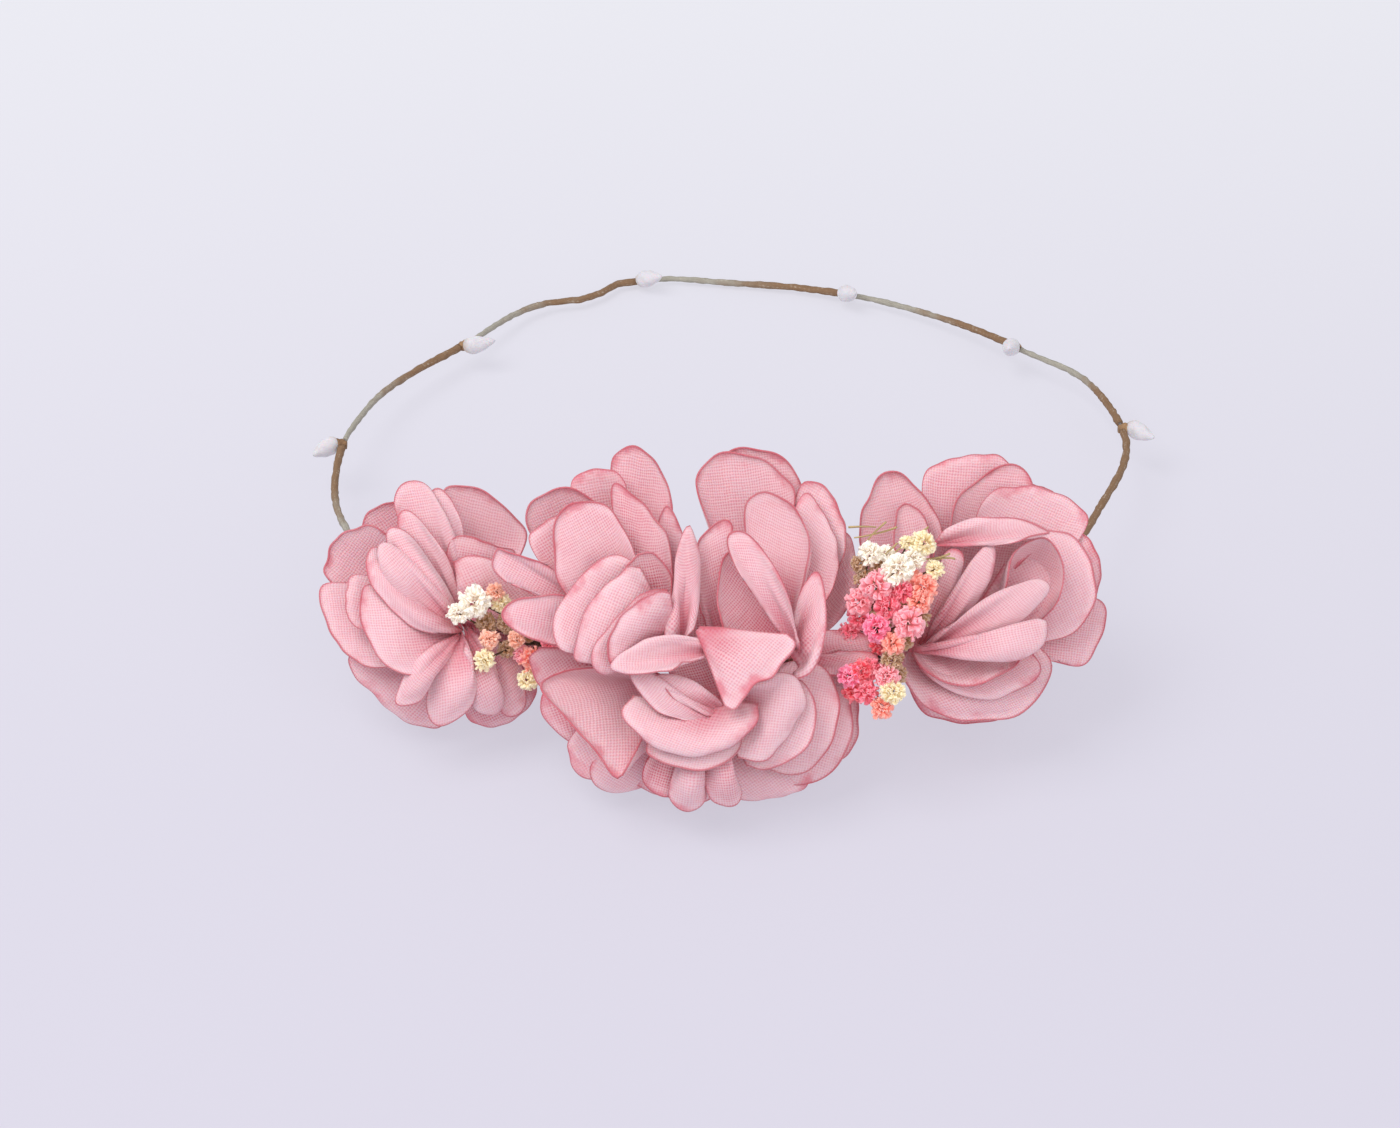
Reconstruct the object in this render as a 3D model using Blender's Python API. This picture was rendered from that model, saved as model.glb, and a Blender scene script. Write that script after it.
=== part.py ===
"""Flower crown: a paper-wrapped wire ring with pip buds, five fabric flowers and dried sprigs.

The crown lies on a table as it was put down: the back of the ring touches the table and the
front is held up by the flowers. +X is the wearer's left-to-right as seen from the front, +Y runs
from the flowers to the back of the ring, +Z is up, and the origin is under the middle of the
whole crown, at table height.
"""

import math

import bmesh
import bpy
import numpy as np
from mathutils import Matrix, Vector

MM = 0.001

# Ring centreline
RING_RADIUS = 83.0 * MM
FRONT_HEIGHT = 22.0 * MM
BACK_HEIGHT = 1.8 * MM
PATH_STEP_DEG = 3.6

# How the hand-bent stem strays from a true circle: angle, radial shift (mm), lift (mm)
STRAY = (
    (7.0, 2.4, 0.0),
    (23.0, 2.8, 0.0),
    (36.5, -2.2, 0.4),
    (55.0, -2.6, 0.0),
    (70.0, -2.4, 0.2),
    (88.0, -1.2, 0.0),
    (101.5, 2.4, 0.4),
    (106.5, 2.6, 0.4),
    (114.0, -2.0, 0.0),
    (121.0, 0.6, 0.0),
    (141.0, -5.2, 0.5),
    (167.0, -0.8, 0.0),
    (178.0, 0.6, 0.3),
    (200.0, 2.8, 0.0),
    (240.0, 0.6, 0.0),
    (270.0, -0.2, 0.0),
    (305.0, -2.0, 0.0),
    (340.0, -3.4, 0.0),
)

# Wire, paper sheath and floral tape
WIRE_RADIUS = 0.35 * MM
SLEEVE_CLEARANCE = 0.30 * MM
SHEATH_WALL = 0.25 * MM
WIRE_LAP_DEG = 24.0
WIRE_LAP_MIDDLE_DEG = 270.0
WIRE_LAP_OFFSET = 0.55 * MM
TAPE_WALL = 0.30 * MM
TAPE_START_DEG = 214.0
TAPE_END_DEG = 326.0
BINDING_LENGTH = 7.0 * MM
BINDING_WALL = 0.60 * MM

# Pip buds: angle on the ring, and the way each points as (along the stem, outward, up)
BUDS = (
    (178.0, (0.85, 0.55, 0.00)),
    (141.0, (-0.55, -0.75, 0.30)),
    (104.0, (-0.60, -0.60, 0.45)),
    (70.0, (-0.60, -0.60, 0.45)),
    (36.5, (-0.60, -0.65, 0.40)),
    (7.0, (-0.80, 0.60, 0.00)),
)
BUD_LENGTH = 6.2 * MM
BUD_RADIUS = 1.8 * MM
CAP_LENGTH = 4.4 * MM
CAP_WALL = 0.75 * MM

# Fabric flowers: name, angle on the band, elevation of the facing direction, petal length
FLOWERS = (
    ("flower_left", 230.0, 30.0, 25.0 * MM),
    ("flower_upper_left", 254.0, 75.0, 30.0 * MM),
    ("flower_upper_right", 275.0, 75.0, 30.0 * MM),
    ("flower_lower", 266.0, 0.0, 31.0 * MM),
    ("flower_right", 301.0, 30.0, 27.0 * MM),
)
GAP = 0.30 * MM
BOSS_NECK_RADIUS = 1.1 * MM
BOSS_RADIUS = 2.5 * MM
BOSS_HEIGHT = 8.0 * MM
PAD_RADIUS = 5.0 * MM
PAD_THICKNESS = 1.2 * MM
PAD_DROP = 2.5 * MM
CUP_CENTRE = 10.0 * MM
PETAL_THICKNESS = 0.40 * MM
NEIGHBOUR_GAP = 1.2 * MM
CRUSH_MARGIN = 0.5 * MM
# Layer: height on the boss (mm), share of the petal length, start and end slope, lobes, turn
LAYERS = (
    ("outer_petals", 2.6, 1.00, -4.0, 20.0, 6, 0.0),
    ("middle_petals", 4.4, 0.94, 30.0, 58.0, 5, 25.0),
    ("inner_petals", 6.2, 0.80, 60.0, 84.0, 4, 50.0),
)
NOTCH_DEPTH = 0.22
COLUMNS_PER_LOBE = 4
PETAL_ROWS = 3

# Dried sprigs: name, angle on the band, material, then the florets as (x, y, z) in mm from
# the point on the band's centreline
SPRIGS = (
    ("sprig_right_white", 289.0, "dried_white",
     ((-6.0, 4.0, 22.0), (0.0, 4.0, 18.5), (5.0, 4.0, 22.5))),
    ("sprig_right_pink", 286.0, "dried_pink",
     ((-1.0, -3.5, 14.0), (-1.0, -5.5, 8.0))),
    ("sprig_right_coral", 292.0, "dried_coral",
     ((1.0, -4.0, 14.5), (1.5, -5.5, 8.5))),
    ("sprig_right_low", 289.0, "dried_pink",
     ((-3.0, -8.5, 0.0), (2.5, -8.5, -3.0), (-2.0, -8.0, -6.0))),
    ("sprig_left_white", 241.0, "dried_white",
     ((-7.0, -4.0, 12.0), (-4.0, -4.5, 16.0))),
    ("sprig_left_coral", 243.0, "dried_coral",
     ((-3.0, -8.0, 5.0), (1.5, -7.5, 9.0))),
    ("sprig_left_low", 244.5, "dried_cream",
     ((-4.0, -8.0, -1.5), (1.5, -7.5, -3.5))),
)
FLORET_RADIUS = 2.6 * MM
TWIG_RADIUS = 0.45 * MM

# Finishes: base colour, roughness, metallic
FINISHES = {
    "steel_wire": ((0.45, 0.45, 0.46), 0.35, 1.0),
    "stem_paper": ((0.33, 0.24, 0.16), 0.75, 0.0),
    "pip_cap": ((0.28, 0.15, 0.08), 0.70, 0.0),
    "pip_bud": ((0.90, 0.89, 0.92), 0.60, 0.0),
    "floral_tape": ((0.30, 0.27, 0.16), 0.80, 0.0),
    "glue": ((0.80, 0.72, 0.60), 0.45, 0.0),
    "felt": ((0.86, 0.66, 0.66), 0.95, 0.0),
    "petal_cloth": ((0.78, 0.40, 0.46), 0.85, 0.0),
    "dried_white": ((0.85, 0.80, 0.68), 0.90, 0.0),
    "dried_cream": ((0.80, 0.66, 0.38), 0.90, 0.0),
    "dried_pink": ((0.80, 0.18, 0.30), 0.90, 0.0),
    "dried_coral": ((0.83, 0.32, 0.24), 0.90, 0.0),
}

CRUSH_START = BOSS_RADIUS + CRUSH_MARGIN
SHEATH_BORE = WIRE_RADIUS + SLEEVE_CLEARANCE
SHEATH_RADIUS = SHEATH_BORE + SHEATH_WALL
TAPE_BORE = WIRE_LAP_OFFSET + WIRE_RADIUS + SLEEVE_CLEARANCE
TAPE_RADIUS = TAPE_BORE + TAPE_WALL
BINDING_BORE = TAPE_RADIUS + GAP
SEAT_OFFSET = TAPE_RADIUS + GAP
RING_TILT = (FRONT_HEIGHT - BACK_HEIGHT) / (2.0 * RING_RADIUS)


def clear_objects():
    for thing in list(bpy.data.objects):
        bpy.data.objects.remove(thing, do_unlink=True)


def material(name):
    """The finish's Principled material, made once and shared."""
    found = bpy.data.materials.get(name)
    if found:
        return found
    colour, roughness, metallic = FINISHES[name]
    made = bpy.data.materials.new(name)
    made.use_nodes = True
    shader = made.node_tree.nodes["Principled BSDF"]
    shader.inputs["Base Color"].default_value = (*colour, 1.0)
    shader.inputs["Roughness"].default_value = roughness
    shader.inputs["Metallic"].default_value = metallic
    made.diffuse_color = (*colour, 1.0)
    return made


def add_object(name, data, finish, crown):
    thing = bpy.data.objects.new(name, data)
    bpy.context.scene.collection.objects.link(thing)
    data.materials.append(material(finish))
    thing.parent = crown
    return thing


def stray(angle_deg):
    """Radial shift and lift at an angle, eased from one station of STRAY to the next."""
    turn = angle_deg % 360.0
    stations = [(STRAY[-1][0] - 360.0, *STRAY[-1][1:]), *STRAY, (STRAY[0][0] + 360.0, *STRAY[0][1:])]
    for before, after in zip(stations, stations[1:]):
        if before[0] <= turn <= after[0]:
            share = (turn - before[0]) / (after[0] - before[0])
            ease = share * share * (3.0 - 2.0 * share)
            radial = before[1] + (after[1] - before[1]) * ease
            lift = before[2] + (after[2] - before[2]) * ease
            return radial * MM, lift * MM
    return 0.0, 0.0


def ring_point(angle_deg, shift=0.0):
    """A point on the tilted ring's centreline, shifted outward by shift."""
    radial, lift = stray(angle_deg)
    radius = RING_RADIUS + radial + shift
    angle = math.radians(angle_deg)
    x = radius * math.cos(angle)
    y = radius * math.sin(angle)
    height = (FRONT_HEIGHT + BACK_HEIGHT) / 2.0 - RING_TILT * y
    return Vector((x, y, height + lift))


def ring_directions(angle_deg):
    """Along the stem, outward from the ring's middle, and straight up."""
    along = (ring_point(angle_deg + 1.0) - ring_point(angle_deg - 1.0)).normalized()
    angle = math.radians(angle_deg)
    outward = Vector((math.cos(angle), math.sin(angle), 0.0))
    return along, outward, Vector((0.0, 0.0, 1.0))


def arc_angles(start_deg, end_deg):
    """The two ends, and the stations that every rod on the ring shares between them."""
    first = math.floor(start_deg / PATH_STEP_DEG + 0.25) + 1
    last = math.ceil(end_deg / PATH_STEP_DEG - 0.25) - 1
    shared = [station * PATH_STEP_DEG for station in range(first, last + 1)]
    return [start_deg, *shared, end_deg]


def rod(name, points, radius, finish, crown, wall=None, sides_level=1):
    """A round rod along the points, or a sleeve with open ends where a wall is given."""
    curve = bpy.data.curves.new(name, "CURVE")
    curve.dimensions = "3D"
    curve.bevel_depth = radius
    curve.bevel_resolution = sides_level
    curve.use_fill_caps = wall is None
    spline = curve.splines.new("POLY")
    spline.points.add(len(points) - 1)
    for spot, point in zip(spline.points, points):
        spot.co = (*point, 1.0)
    thing = add_object(name, curve, finish, crown)
    if wall is not None:
        shell = thing.modifiers.new("wall", "SOLIDIFY")
        shell.thickness = wall
        shell.offset = -1.0
        shell.use_even_offset = True
    return thing


def placed(origin, axis):
    """A matrix that stands local +Z along the axis at the origin."""
    return Matrix.Translation(origin) @ axis.to_track_quat("Z", "Y").to_matrix().to_4x4()


def turned(name, profile, finish, crown, where, segments, loop=False):
    """A turned piece: (radius, height) points spun about local Z, closed on the axis or a loop."""
    mesh = bpy.data.meshes.new(name)
    shape = bmesh.new()
    spots = [shape.verts.new((radius, 0.0, height)) for radius, height in profile]
    pairs = list(zip(spots, spots[1:]))
    if loop:
        pairs.append((spots[-1], spots[0]))
    edges = [shape.edges.new(pair) for pair in pairs]
    bmesh.ops.spin(
        shape,
        geom=spots + edges,
        cent=(0.0, 0.0, 0.0),
        axis=(0.0, 0.0, 1.0),
        angle=2.0 * math.pi,
        steps=segments,
        use_merge=True,
    )
    bmesh.ops.remove_doubles(shape, verts=shape.verts[:], dist=0.00001)
    bmesh.ops.recalc_face_normals(shape, faces=shape.faces[:])
    shape.to_mesh(mesh)
    shape.free()
    mesh.shade_smooth()
    mesh.set_sharp_from_angle(angle=math.radians(40.0))
    thing = add_object(name, mesh, finish, crown)
    thing.matrix_local = where
    return thing


def add_wire(crown):
    """One length of spring wire whose two ends lap side by side under the front flowers."""
    start = WIRE_LAP_MIDDLE_DEG - WIRE_LAP_DEG / 2.0
    end = WIRE_LAP_MIDDLE_DEG + WIRE_LAP_DEG / 2.0 + 360.0
    points = []
    for angle in arc_angles(start, end):
        from_start = min(1.0, (angle - start) / (2.0 * WIRE_LAP_DEG))
        from_end = min(1.0, (end - angle) / (2.0 * WIRE_LAP_DEG))
        side = from_start * from_start - from_end * from_end
        points.append(ring_point(angle, WIRE_LAP_OFFSET * side))
    rod("core_wire", points, WIRE_RADIUS, "steel_wire", crown)


def add_vine(crown):
    """Paper sleeves on the wire, stopping short of each bud's cap, and the wrapped front band."""
    cap_deg = math.degrees((CAP_LENGTH / 2.0 + GAP) / RING_RADIUS)
    binding_deg = math.degrees(BINDING_LENGTH / 2.0 / RING_RADIUS)
    stops = [TAPE_END_DEG - 360.0 + GAP / RING_RADIUS * 60.0]
    for angle, _ in sorted(BUDS):
        stops += [angle - cap_deg, angle + cap_deg]
    stops.append(TAPE_START_DEG - GAP / RING_RADIUS * 60.0)
    names = (
        "stem_right_tail",
        "stem_right",
        "stem_right_back",
        "stem_back",
        "stem_left_back",
        "stem_left",
        "stem_left_tail",
    )
    for name, start, end in zip(names, stops[0::2], stops[1::2]):
        points = [ring_point(angle) for angle in arc_angles(start, end)]
        rod(name, points, SHEATH_RADIUS, "stem_paper", crown, wall=SHEATH_WALL)
    band = [ring_point(angle) for angle in arc_angles(TAPE_START_DEG, TAPE_END_DEG)]
    rod("band_wrap", band, TAPE_RADIUS, "floral_tape", crown, wall=TAPE_WALL)
    for name, angle in (
        ("tape_binding_left", TAPE_START_DEG + binding_deg),
        ("tape_binding_right", TAPE_END_DEG - binding_deg),
    ):
        along, _, _ = ring_directions(angle)
        half = BINDING_LENGTH / 2.0
        outer = BINDING_BORE + BINDING_WALL
        profile = ((BINDING_BORE, -half), (outer, -half + BINDING_WALL),
                   (outer, half - BINDING_WALL), (BINDING_BORE, half))
        turned(name, profile, "floral_tape", crown, placed(ring_point(angle), along), 10, loop=True)


def add_buds(crown):
    """Each pip: a paper knot threaded on the wire, and a teardrop bud standing off its side."""
    half = CAP_LENGTH / 2.0
    outer = SHEATH_RADIUS + CAP_WALL
    knot = ((SHEATH_BORE, -half), (SHEATH_RADIUS, -half), (outer, -half * 0.35),
            (outer, half * 0.35), (SHEATH_RADIUS, half), (SHEATH_BORE, half))
    teardrop = ((0.0, 0.0), (0.30, 0.03), (0.80, 0.25), (1.0, 0.50), (0.85, 0.75), (0.45, 0.94), (0.0, 1.0))
    bud = [(BUD_RADIUS * radius, BUD_LENGTH * height) for radius, height in teardrop]
    for number, (angle, pointing) in enumerate(BUDS, start=1):
        along, outward, up = ring_directions(angle)
        middle = ring_point(angle)
        turned(f"bud_cap_{number}", knot, "pip_cap", crown, placed(middle, along), 8, loop=True)
        way = (along * pointing[0] + outward * pointing[1] + up * pointing[2]).normalized()
        side = (way - along * way.dot(along)).normalized()
        lean = 1.0 - way.dot(side)
        foot = middle + side * (outer + GAP + 0.3 * BUD_RADIUS * lean)
        turned(f"bud_{number}", bud, "pip_bud", crown, placed(foot, way), 8)


def flower_frames():
    """For each flower: its seat on the band, its facing direction and the middle of its cup."""
    frames = []
    for name, angle, elevation_deg, length in FLOWERS:
        _, outward, up = ring_directions(angle)
        tilt = math.radians(elevation_deg)
        facing = (outward * math.cos(tilt) + up * math.sin(tilt)).normalized()
        seat = ring_point(angle) + facing * SEAT_OFFSET
        frames.append((name, angle, length, seat, facing, seat + facing * CUP_CENTRE))
    return frames


def lobed_cup(frame, layer):
    """A cut-out ring of cloth petals pressed into a cup: points and how far out each one is.

    The radius from the boss grows along an arc whose slope turns from the first angle to the
    second, and the arc is shorter between two lobes than at a lobe's middle.
    """
    _, _, length, seat, facing, _ = frame
    _, height, share, slope_start, slope_end, lobes, turn_deg = layer
    side = facing.cross(Vector((0.0, 0.0, 1.0)))
    if side.length < 0.2:
        side = facing.cross(Vector((1.0, 0.0, 0.0)))
    side = np.array(side.normalized())
    axis = np.array(facing)
    third = np.cross(axis, side)
    columns = lobes * COLUMNS_PER_LOBE
    turn = 2.0 * np.pi * np.arange(columns) / columns
    along_lobe = (np.arange(columns) % COLUMNS_PER_LOBE) / COLUMNS_PER_LOBE * 2.0 - 1.0
    reach = length * share * (1.0 - NOTCH_DEPTH * np.abs(along_lobe) ** 3)
    out = np.linspace(0.0, 1.0, PETAL_ROWS + 1)
    bend = np.radians(slope_start + (slope_end - slope_start) * out)
    step = np.diff(out, prepend=0.0)
    run = np.cumsum(np.cos(bend) * step)
    rise = np.cumsum(np.sin(bend) * step)
    radius = BOSS_RADIUS + GAP + PETAL_THICKNESS + reach[None, :] * run[:, None]
    lift = height * MM + reach[None, :] * rise[:, None]
    angle = turn + math.radians(turn_deg)
    round_part = np.cos(angle)[None, :, None] * side + np.sin(angle)[None, :, None] * third
    points = np.array(seat) + radius[..., None] * round_part + lift[..., None] * axis
    return points, out[:, None] * np.ones(columns)


def crush_planes(frames, index):
    """Where a flower's cloth has to stop: at its neighbours, and at the table."""
    middle = np.array(frames[index][5])
    planes = [(np.array((0.0, 0.0, -1.0)), middle[2] - PETAL_THICKNESS)]
    for other, frame in enumerate(frames):
        if other == index:
            continue
        apart = np.array(frame[5]) - middle
        distance = np.linalg.norm(apart)
        planes.append((apart / distance, (distance - NEIGHBOUR_GAP) / 2.0))
    for _, angle, _, florets in SPRIGS:
        centre = np.array(ring_point(angle)) + np.mean(florets, axis=0) * MM
        apart = centre - middle
        distance = np.linalg.norm(apart)
        size = max(np.linalg.norm(np.array(f) - np.mean(florets, axis=0)) for f in florets) * MM
        planes.append((apart / distance, distance - size - FLORET_RADIUS - NEIGHBOUR_GAP))
    return middle, planes


def crush(layers, middle, planes):
    """Squeeze the cloth that would pass a plane, in proportion, and leave its foot alone."""
    for _ in range(3):
        for direction, limit in planes:
            reach = max(((points - middle) @ direction).max() for points, _ in layers)
            if reach <= limit:
                continue
            keep = max(0.0, limit - CRUSH_START) / (reach - CRUSH_START)
            for points, out in layers:
                along = (points - middle) @ direction
                extra = np.maximum(0.0, along - CRUSH_START)
                hold = np.clip(out / 0.4, 0.0, 1.0)
                points -= (extra * (1.0 - keep) * hold)[..., None] * direction


def add_cloth(name, points, crown):
    rows, columns = points.shape[:2]
    spots = points.reshape(-1, 3)
    faces = []
    for row in range(rows - 1):
        for column in range(columns):
            after = (column + 1) % columns
            faces.append((row * columns + column, row * columns + after,
                          (row + 1) * columns + after, (row + 1) * columns + column))
    mesh = bpy.data.meshes.new(name)
    mesh.from_pydata(spots.tolist(), [], faces)
    mesh.shade_smooth()
    thing = add_object(name, mesh, "petal_cloth", crown)
    sheet = thing.modifiers.new("cloth", "SOLIDIFY")
    sheet.thickness = PETAL_THICKNESS
    sheet.offset = 0.0
    return thing


def add_flowers(crown):
    """Five flowers: a boss on the band, three lobed layers round it, and a pad on the head side."""
    boss = ((0.0, 0.0), (BOSS_NECK_RADIUS, 0.0), (BOSS_RADIUS, BOSS_NECK_RADIUS),
            (BOSS_RADIUS, BOSS_HEIGHT * 0.75), (BOSS_RADIUS * 0.6, BOSS_HEIGHT * 0.94), (0.0, BOSS_HEIGHT))
    pad = ((0.0, 0.0), (PAD_RADIUS, 0.0), (PAD_RADIUS, PAD_THICKNESS), (0.0, PAD_THICKNESS))
    frames = flower_frames()
    for index, frame in enumerate(frames):
        name, angle, _, seat, facing, _ = frame
        turned(f"{name}.boss", boss, "glue", crown, placed(seat, facing), 8)
        layers = [lobed_cup(frame, layer) for layer in LAYERS]
        middle, planes = crush_planes(frames, index)
        crush(layers, middle, planes)
        for layer, (points, _) in zip(LAYERS, layers):
            add_cloth(f"{name}.{layer[0]}", points, crown)
        _, outward, up = ring_directions(angle)
        inner = ring_point(angle) - outward * SEAT_OFFSET - up * PAD_DROP
        turned(f"{name}.felt_pad", pad, "felt", crown, placed(inner, -outward), 16)


def add_sprig(name, angle, finish, florets, crown):
    """Twigs from one foot on the band to each dried floret, united into one solid."""
    middle = ring_point(angle)
    spots = [middle + Vector(floret) * MM for floret in florets]
    heading = (sum(spots, Vector()) / len(spots) - middle).normalized()
    foot = middle + heading * (SEAT_OFFSET + TWIG_RADIUS + GAP)
    shape = bmesh.new()
    bmesh.ops.create_icosphere(shape, subdivisions=1, radius=TWIG_RADIUS * 2.0, matrix=Matrix.Translation(foot))
    mesh = bpy.data.meshes.new(name)
    shape.to_mesh(mesh)
    shape.free()
    sprig = add_object(name, mesh, finish, crown)
    for number, spot in enumerate(spots):
        parts = bmesh.new()
        length = (spot - foot).length
        where = placed(foot, spot - foot) @ Matrix.Translation((0.0, 0.0, length / 2.0))
        bmesh.ops.create_cone(parts, cap_ends=True, segments=5, radius1=TWIG_RADIUS,
                              radius2=TWIG_RADIUS, depth=length, matrix=where)
        unite(sprig, f"{name}_twig_{number}", parts, crown)
        parts = bmesh.new()
        bmesh.ops.create_icosphere(parts, subdivisions=1, radius=FLORET_RADIUS,
                                   matrix=Matrix.Translation(spot))
        unite(sprig, f"{name}_floret_{number}", parts, crown)


def unite(target, name, shape, crown):
    """Join a hidden shape to the target with a Boolean union."""
    mesh = bpy.data.meshes.new(name)
    shape.to_mesh(mesh)
    shape.free()
    cutter = bpy.data.objects.new(name, mesh)
    bpy.context.scene.collection.objects.link(cutter)
    cutter.parent = crown
    cutter.hide_render = True
    cutter.display_type = "WIRE"
    joint = target.modifiers.new(name, "BOOLEAN")
    joint.operation = "UNION"
    joint.solver = "EXACT"
    joint.object = cutter


def centre_on_table(crown):
    """Slide the crown so that the origin is under its middle, at table height."""
    bpy.context.view_layer.update()
    depsgraph = bpy.context.evaluated_depsgraph_get()
    low = np.full(3, np.inf)
    high = np.full(3, -np.inf)
    for thing in crown.children:
        if thing.hide_render:
            continue
        solid = thing.evaluated_get(depsgraph)
        mesh = solid.to_mesh()
        spots = np.empty(len(mesh.vertices) * 3)
        mesh.vertices.foreach_get("co", spots)
        turn = np.array(thing.matrix_world)
        spots = spots.reshape(-1, 3) @ turn[:3, :3].T + turn[:3, 3]
        low = np.minimum(low, spots.min(axis=0))
        high = np.maximum(high, spots.max(axis=0))
        solid.to_mesh_clear()
    middle = (low + high) / 2.0
    crown.location = (-middle[0], -middle[1], -low[2])


def build():
    clear_objects()
    crown = bpy.data.objects.new("crown", None)
    bpy.context.scene.collection.objects.link(crown)
    add_wire(crown)
    add_vine(crown)
    add_buds(crown)
    add_flowers(crown)
    for name, angle, finish, florets in SPRIGS:
        add_sprig(name, angle, finish, florets, crown)
    centre_on_table(crown)


build()
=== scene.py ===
"""Looks for the flower crown: cloth petals, paper-wrapped vine, flocked buds and dried gypsophila.

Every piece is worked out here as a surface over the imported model. Lengths in the tables are
millimetres. A flower's petals are placed from its heart, in the directions of someone who sits
before the crown: to the right, up the flower's face, and out of the face towards the person.
"""

import math
from collections import namedtuple

import bpy
import numpy as np
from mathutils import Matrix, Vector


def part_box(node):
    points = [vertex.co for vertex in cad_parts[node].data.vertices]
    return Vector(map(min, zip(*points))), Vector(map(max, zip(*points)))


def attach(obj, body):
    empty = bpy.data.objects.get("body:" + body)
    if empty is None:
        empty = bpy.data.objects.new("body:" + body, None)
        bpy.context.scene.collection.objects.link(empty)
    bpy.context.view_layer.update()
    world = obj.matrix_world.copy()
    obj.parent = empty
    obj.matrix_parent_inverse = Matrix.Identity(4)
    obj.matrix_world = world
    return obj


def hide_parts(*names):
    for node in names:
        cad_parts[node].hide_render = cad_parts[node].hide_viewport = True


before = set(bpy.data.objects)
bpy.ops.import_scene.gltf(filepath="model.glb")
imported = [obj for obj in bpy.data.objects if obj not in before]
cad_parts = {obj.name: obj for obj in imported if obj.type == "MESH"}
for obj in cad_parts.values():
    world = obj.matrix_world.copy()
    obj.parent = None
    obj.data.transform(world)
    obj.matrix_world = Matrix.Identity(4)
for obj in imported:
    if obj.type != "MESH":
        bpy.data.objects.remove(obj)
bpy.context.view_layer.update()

MM = 0.001
TAU = 2.0 * math.pi

# The seat in front of the crown: how far the eye looks down on it, and from where.
LOOK_DOWN = math.radians(37.64)
EYE_DISTANCE = 670.85 * MM
EYE_TARGET = np.array([-7.64, -27.91, 14.70]) * MM
LENS = 85.0
SENSOR = 36.0

RIGHT = np.array([1.0, 0.0, 0.0])
UP = np.array([0.0, math.sin(LOOK_DOWN), math.cos(LOOK_DOWN)])
OUT = np.array([0.0, -math.cos(LOOK_DOWN), math.sin(LOOK_DOWN)])
FACE = np.array([RIGHT, UP, OUT])

# The cloth, and the least height of a petal over the table.
CLOTH_THICKNESS = 0.32 * MM
THREAD_PITCH = 0.57 * MM
CLEARANCE = 0.5 * MM

# A petal's grid: rows from the glue to the rim, the last of them closer together, and columns.
PETAL_ROWS, RIM_ROWS, PETAL_COLUMNS = 30, 8, 46
RIM_FROM = 0.90

# Shares of a petal: how much of the rim is drawn in at each end and how far, and the foot's width.
CORNER = 0.07
DRAWN_IN = 0.16
FOOT = 0.06

# Heights of a petal's folds, in millimetres, and what the tables' bellies are multiplied by.
BELLY = 1.5
PLEATS = 0.80
RUFFLE = 0.45
DENTS = 0.55
RAGGED = 0.22

# The rolled rim, in millimetres: its width, how far it rises and how far it is drawn back.
LIP = 2.3
LIP_RISE = 0.85
LIP_BACK = 0.55

# A rim this long, in millimetres, has the full folds; a shorter one has less of them.
FULL_RIM = 30.0

# The least side of a petal laid flat, in metres, and the least share of its box that it fills.
SHEET_LEAST = 0.0105
SHEET_SHARE = 0.31

# The stem, and how many degrees it runs under the buds at each end.
VINE_RADIUS = 0.76 * MM
STEM_OVERLAP = 0.7

# How many rings of points a degree of stem and of tape has.
STEM_RINGS = 3
TAPE_RINGS = 5

# The knots at the buds' feet, how far they reach past their middles, and how deep the buds sit.
KNOT_RADIUS = 1.05 * MM
KNOT_REACH = 1.0 * MM
BUD_SEAT = 1.5 * MM

# Tape: the node, the length of one turn and the radius, in millimetres, and the step of a turn.
WRAPS = [("band_wrap", 4.0, 1.35), ("tape_binding_left", 1.2, 2.0), ("tape_binding_right", 1.2, 2.0)]
TAPE_STEP = 0.16

# A floret: its radius in millimetres, its petals, where they start in it, and their thickness.
FLORET_RADIUS = 3.1
FLORET_PETALS = 84
FLORET_HEART = 0.40
FLORET_THICKNESS = 0.10 * MM

STALK_RADIUS = 0.28 * MM
STRAW_RADIUS = 0.22 * MM

# ---------------------------------------------------------------- petals of the five flowers

# layer: the ring of the flower it belongs to; then how deep its rose is, from 0 pale to 1 deep, partly the
# cloth's own dyeing and partly painted shade on petals that lie in shaded pockets; base: where it is glued
# in; belly: how far the middle of the cloth swells from straight; rim: its free edge, clockwise.
Petal = namedtuple("Petal", "layer dye base belly rim")

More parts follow.
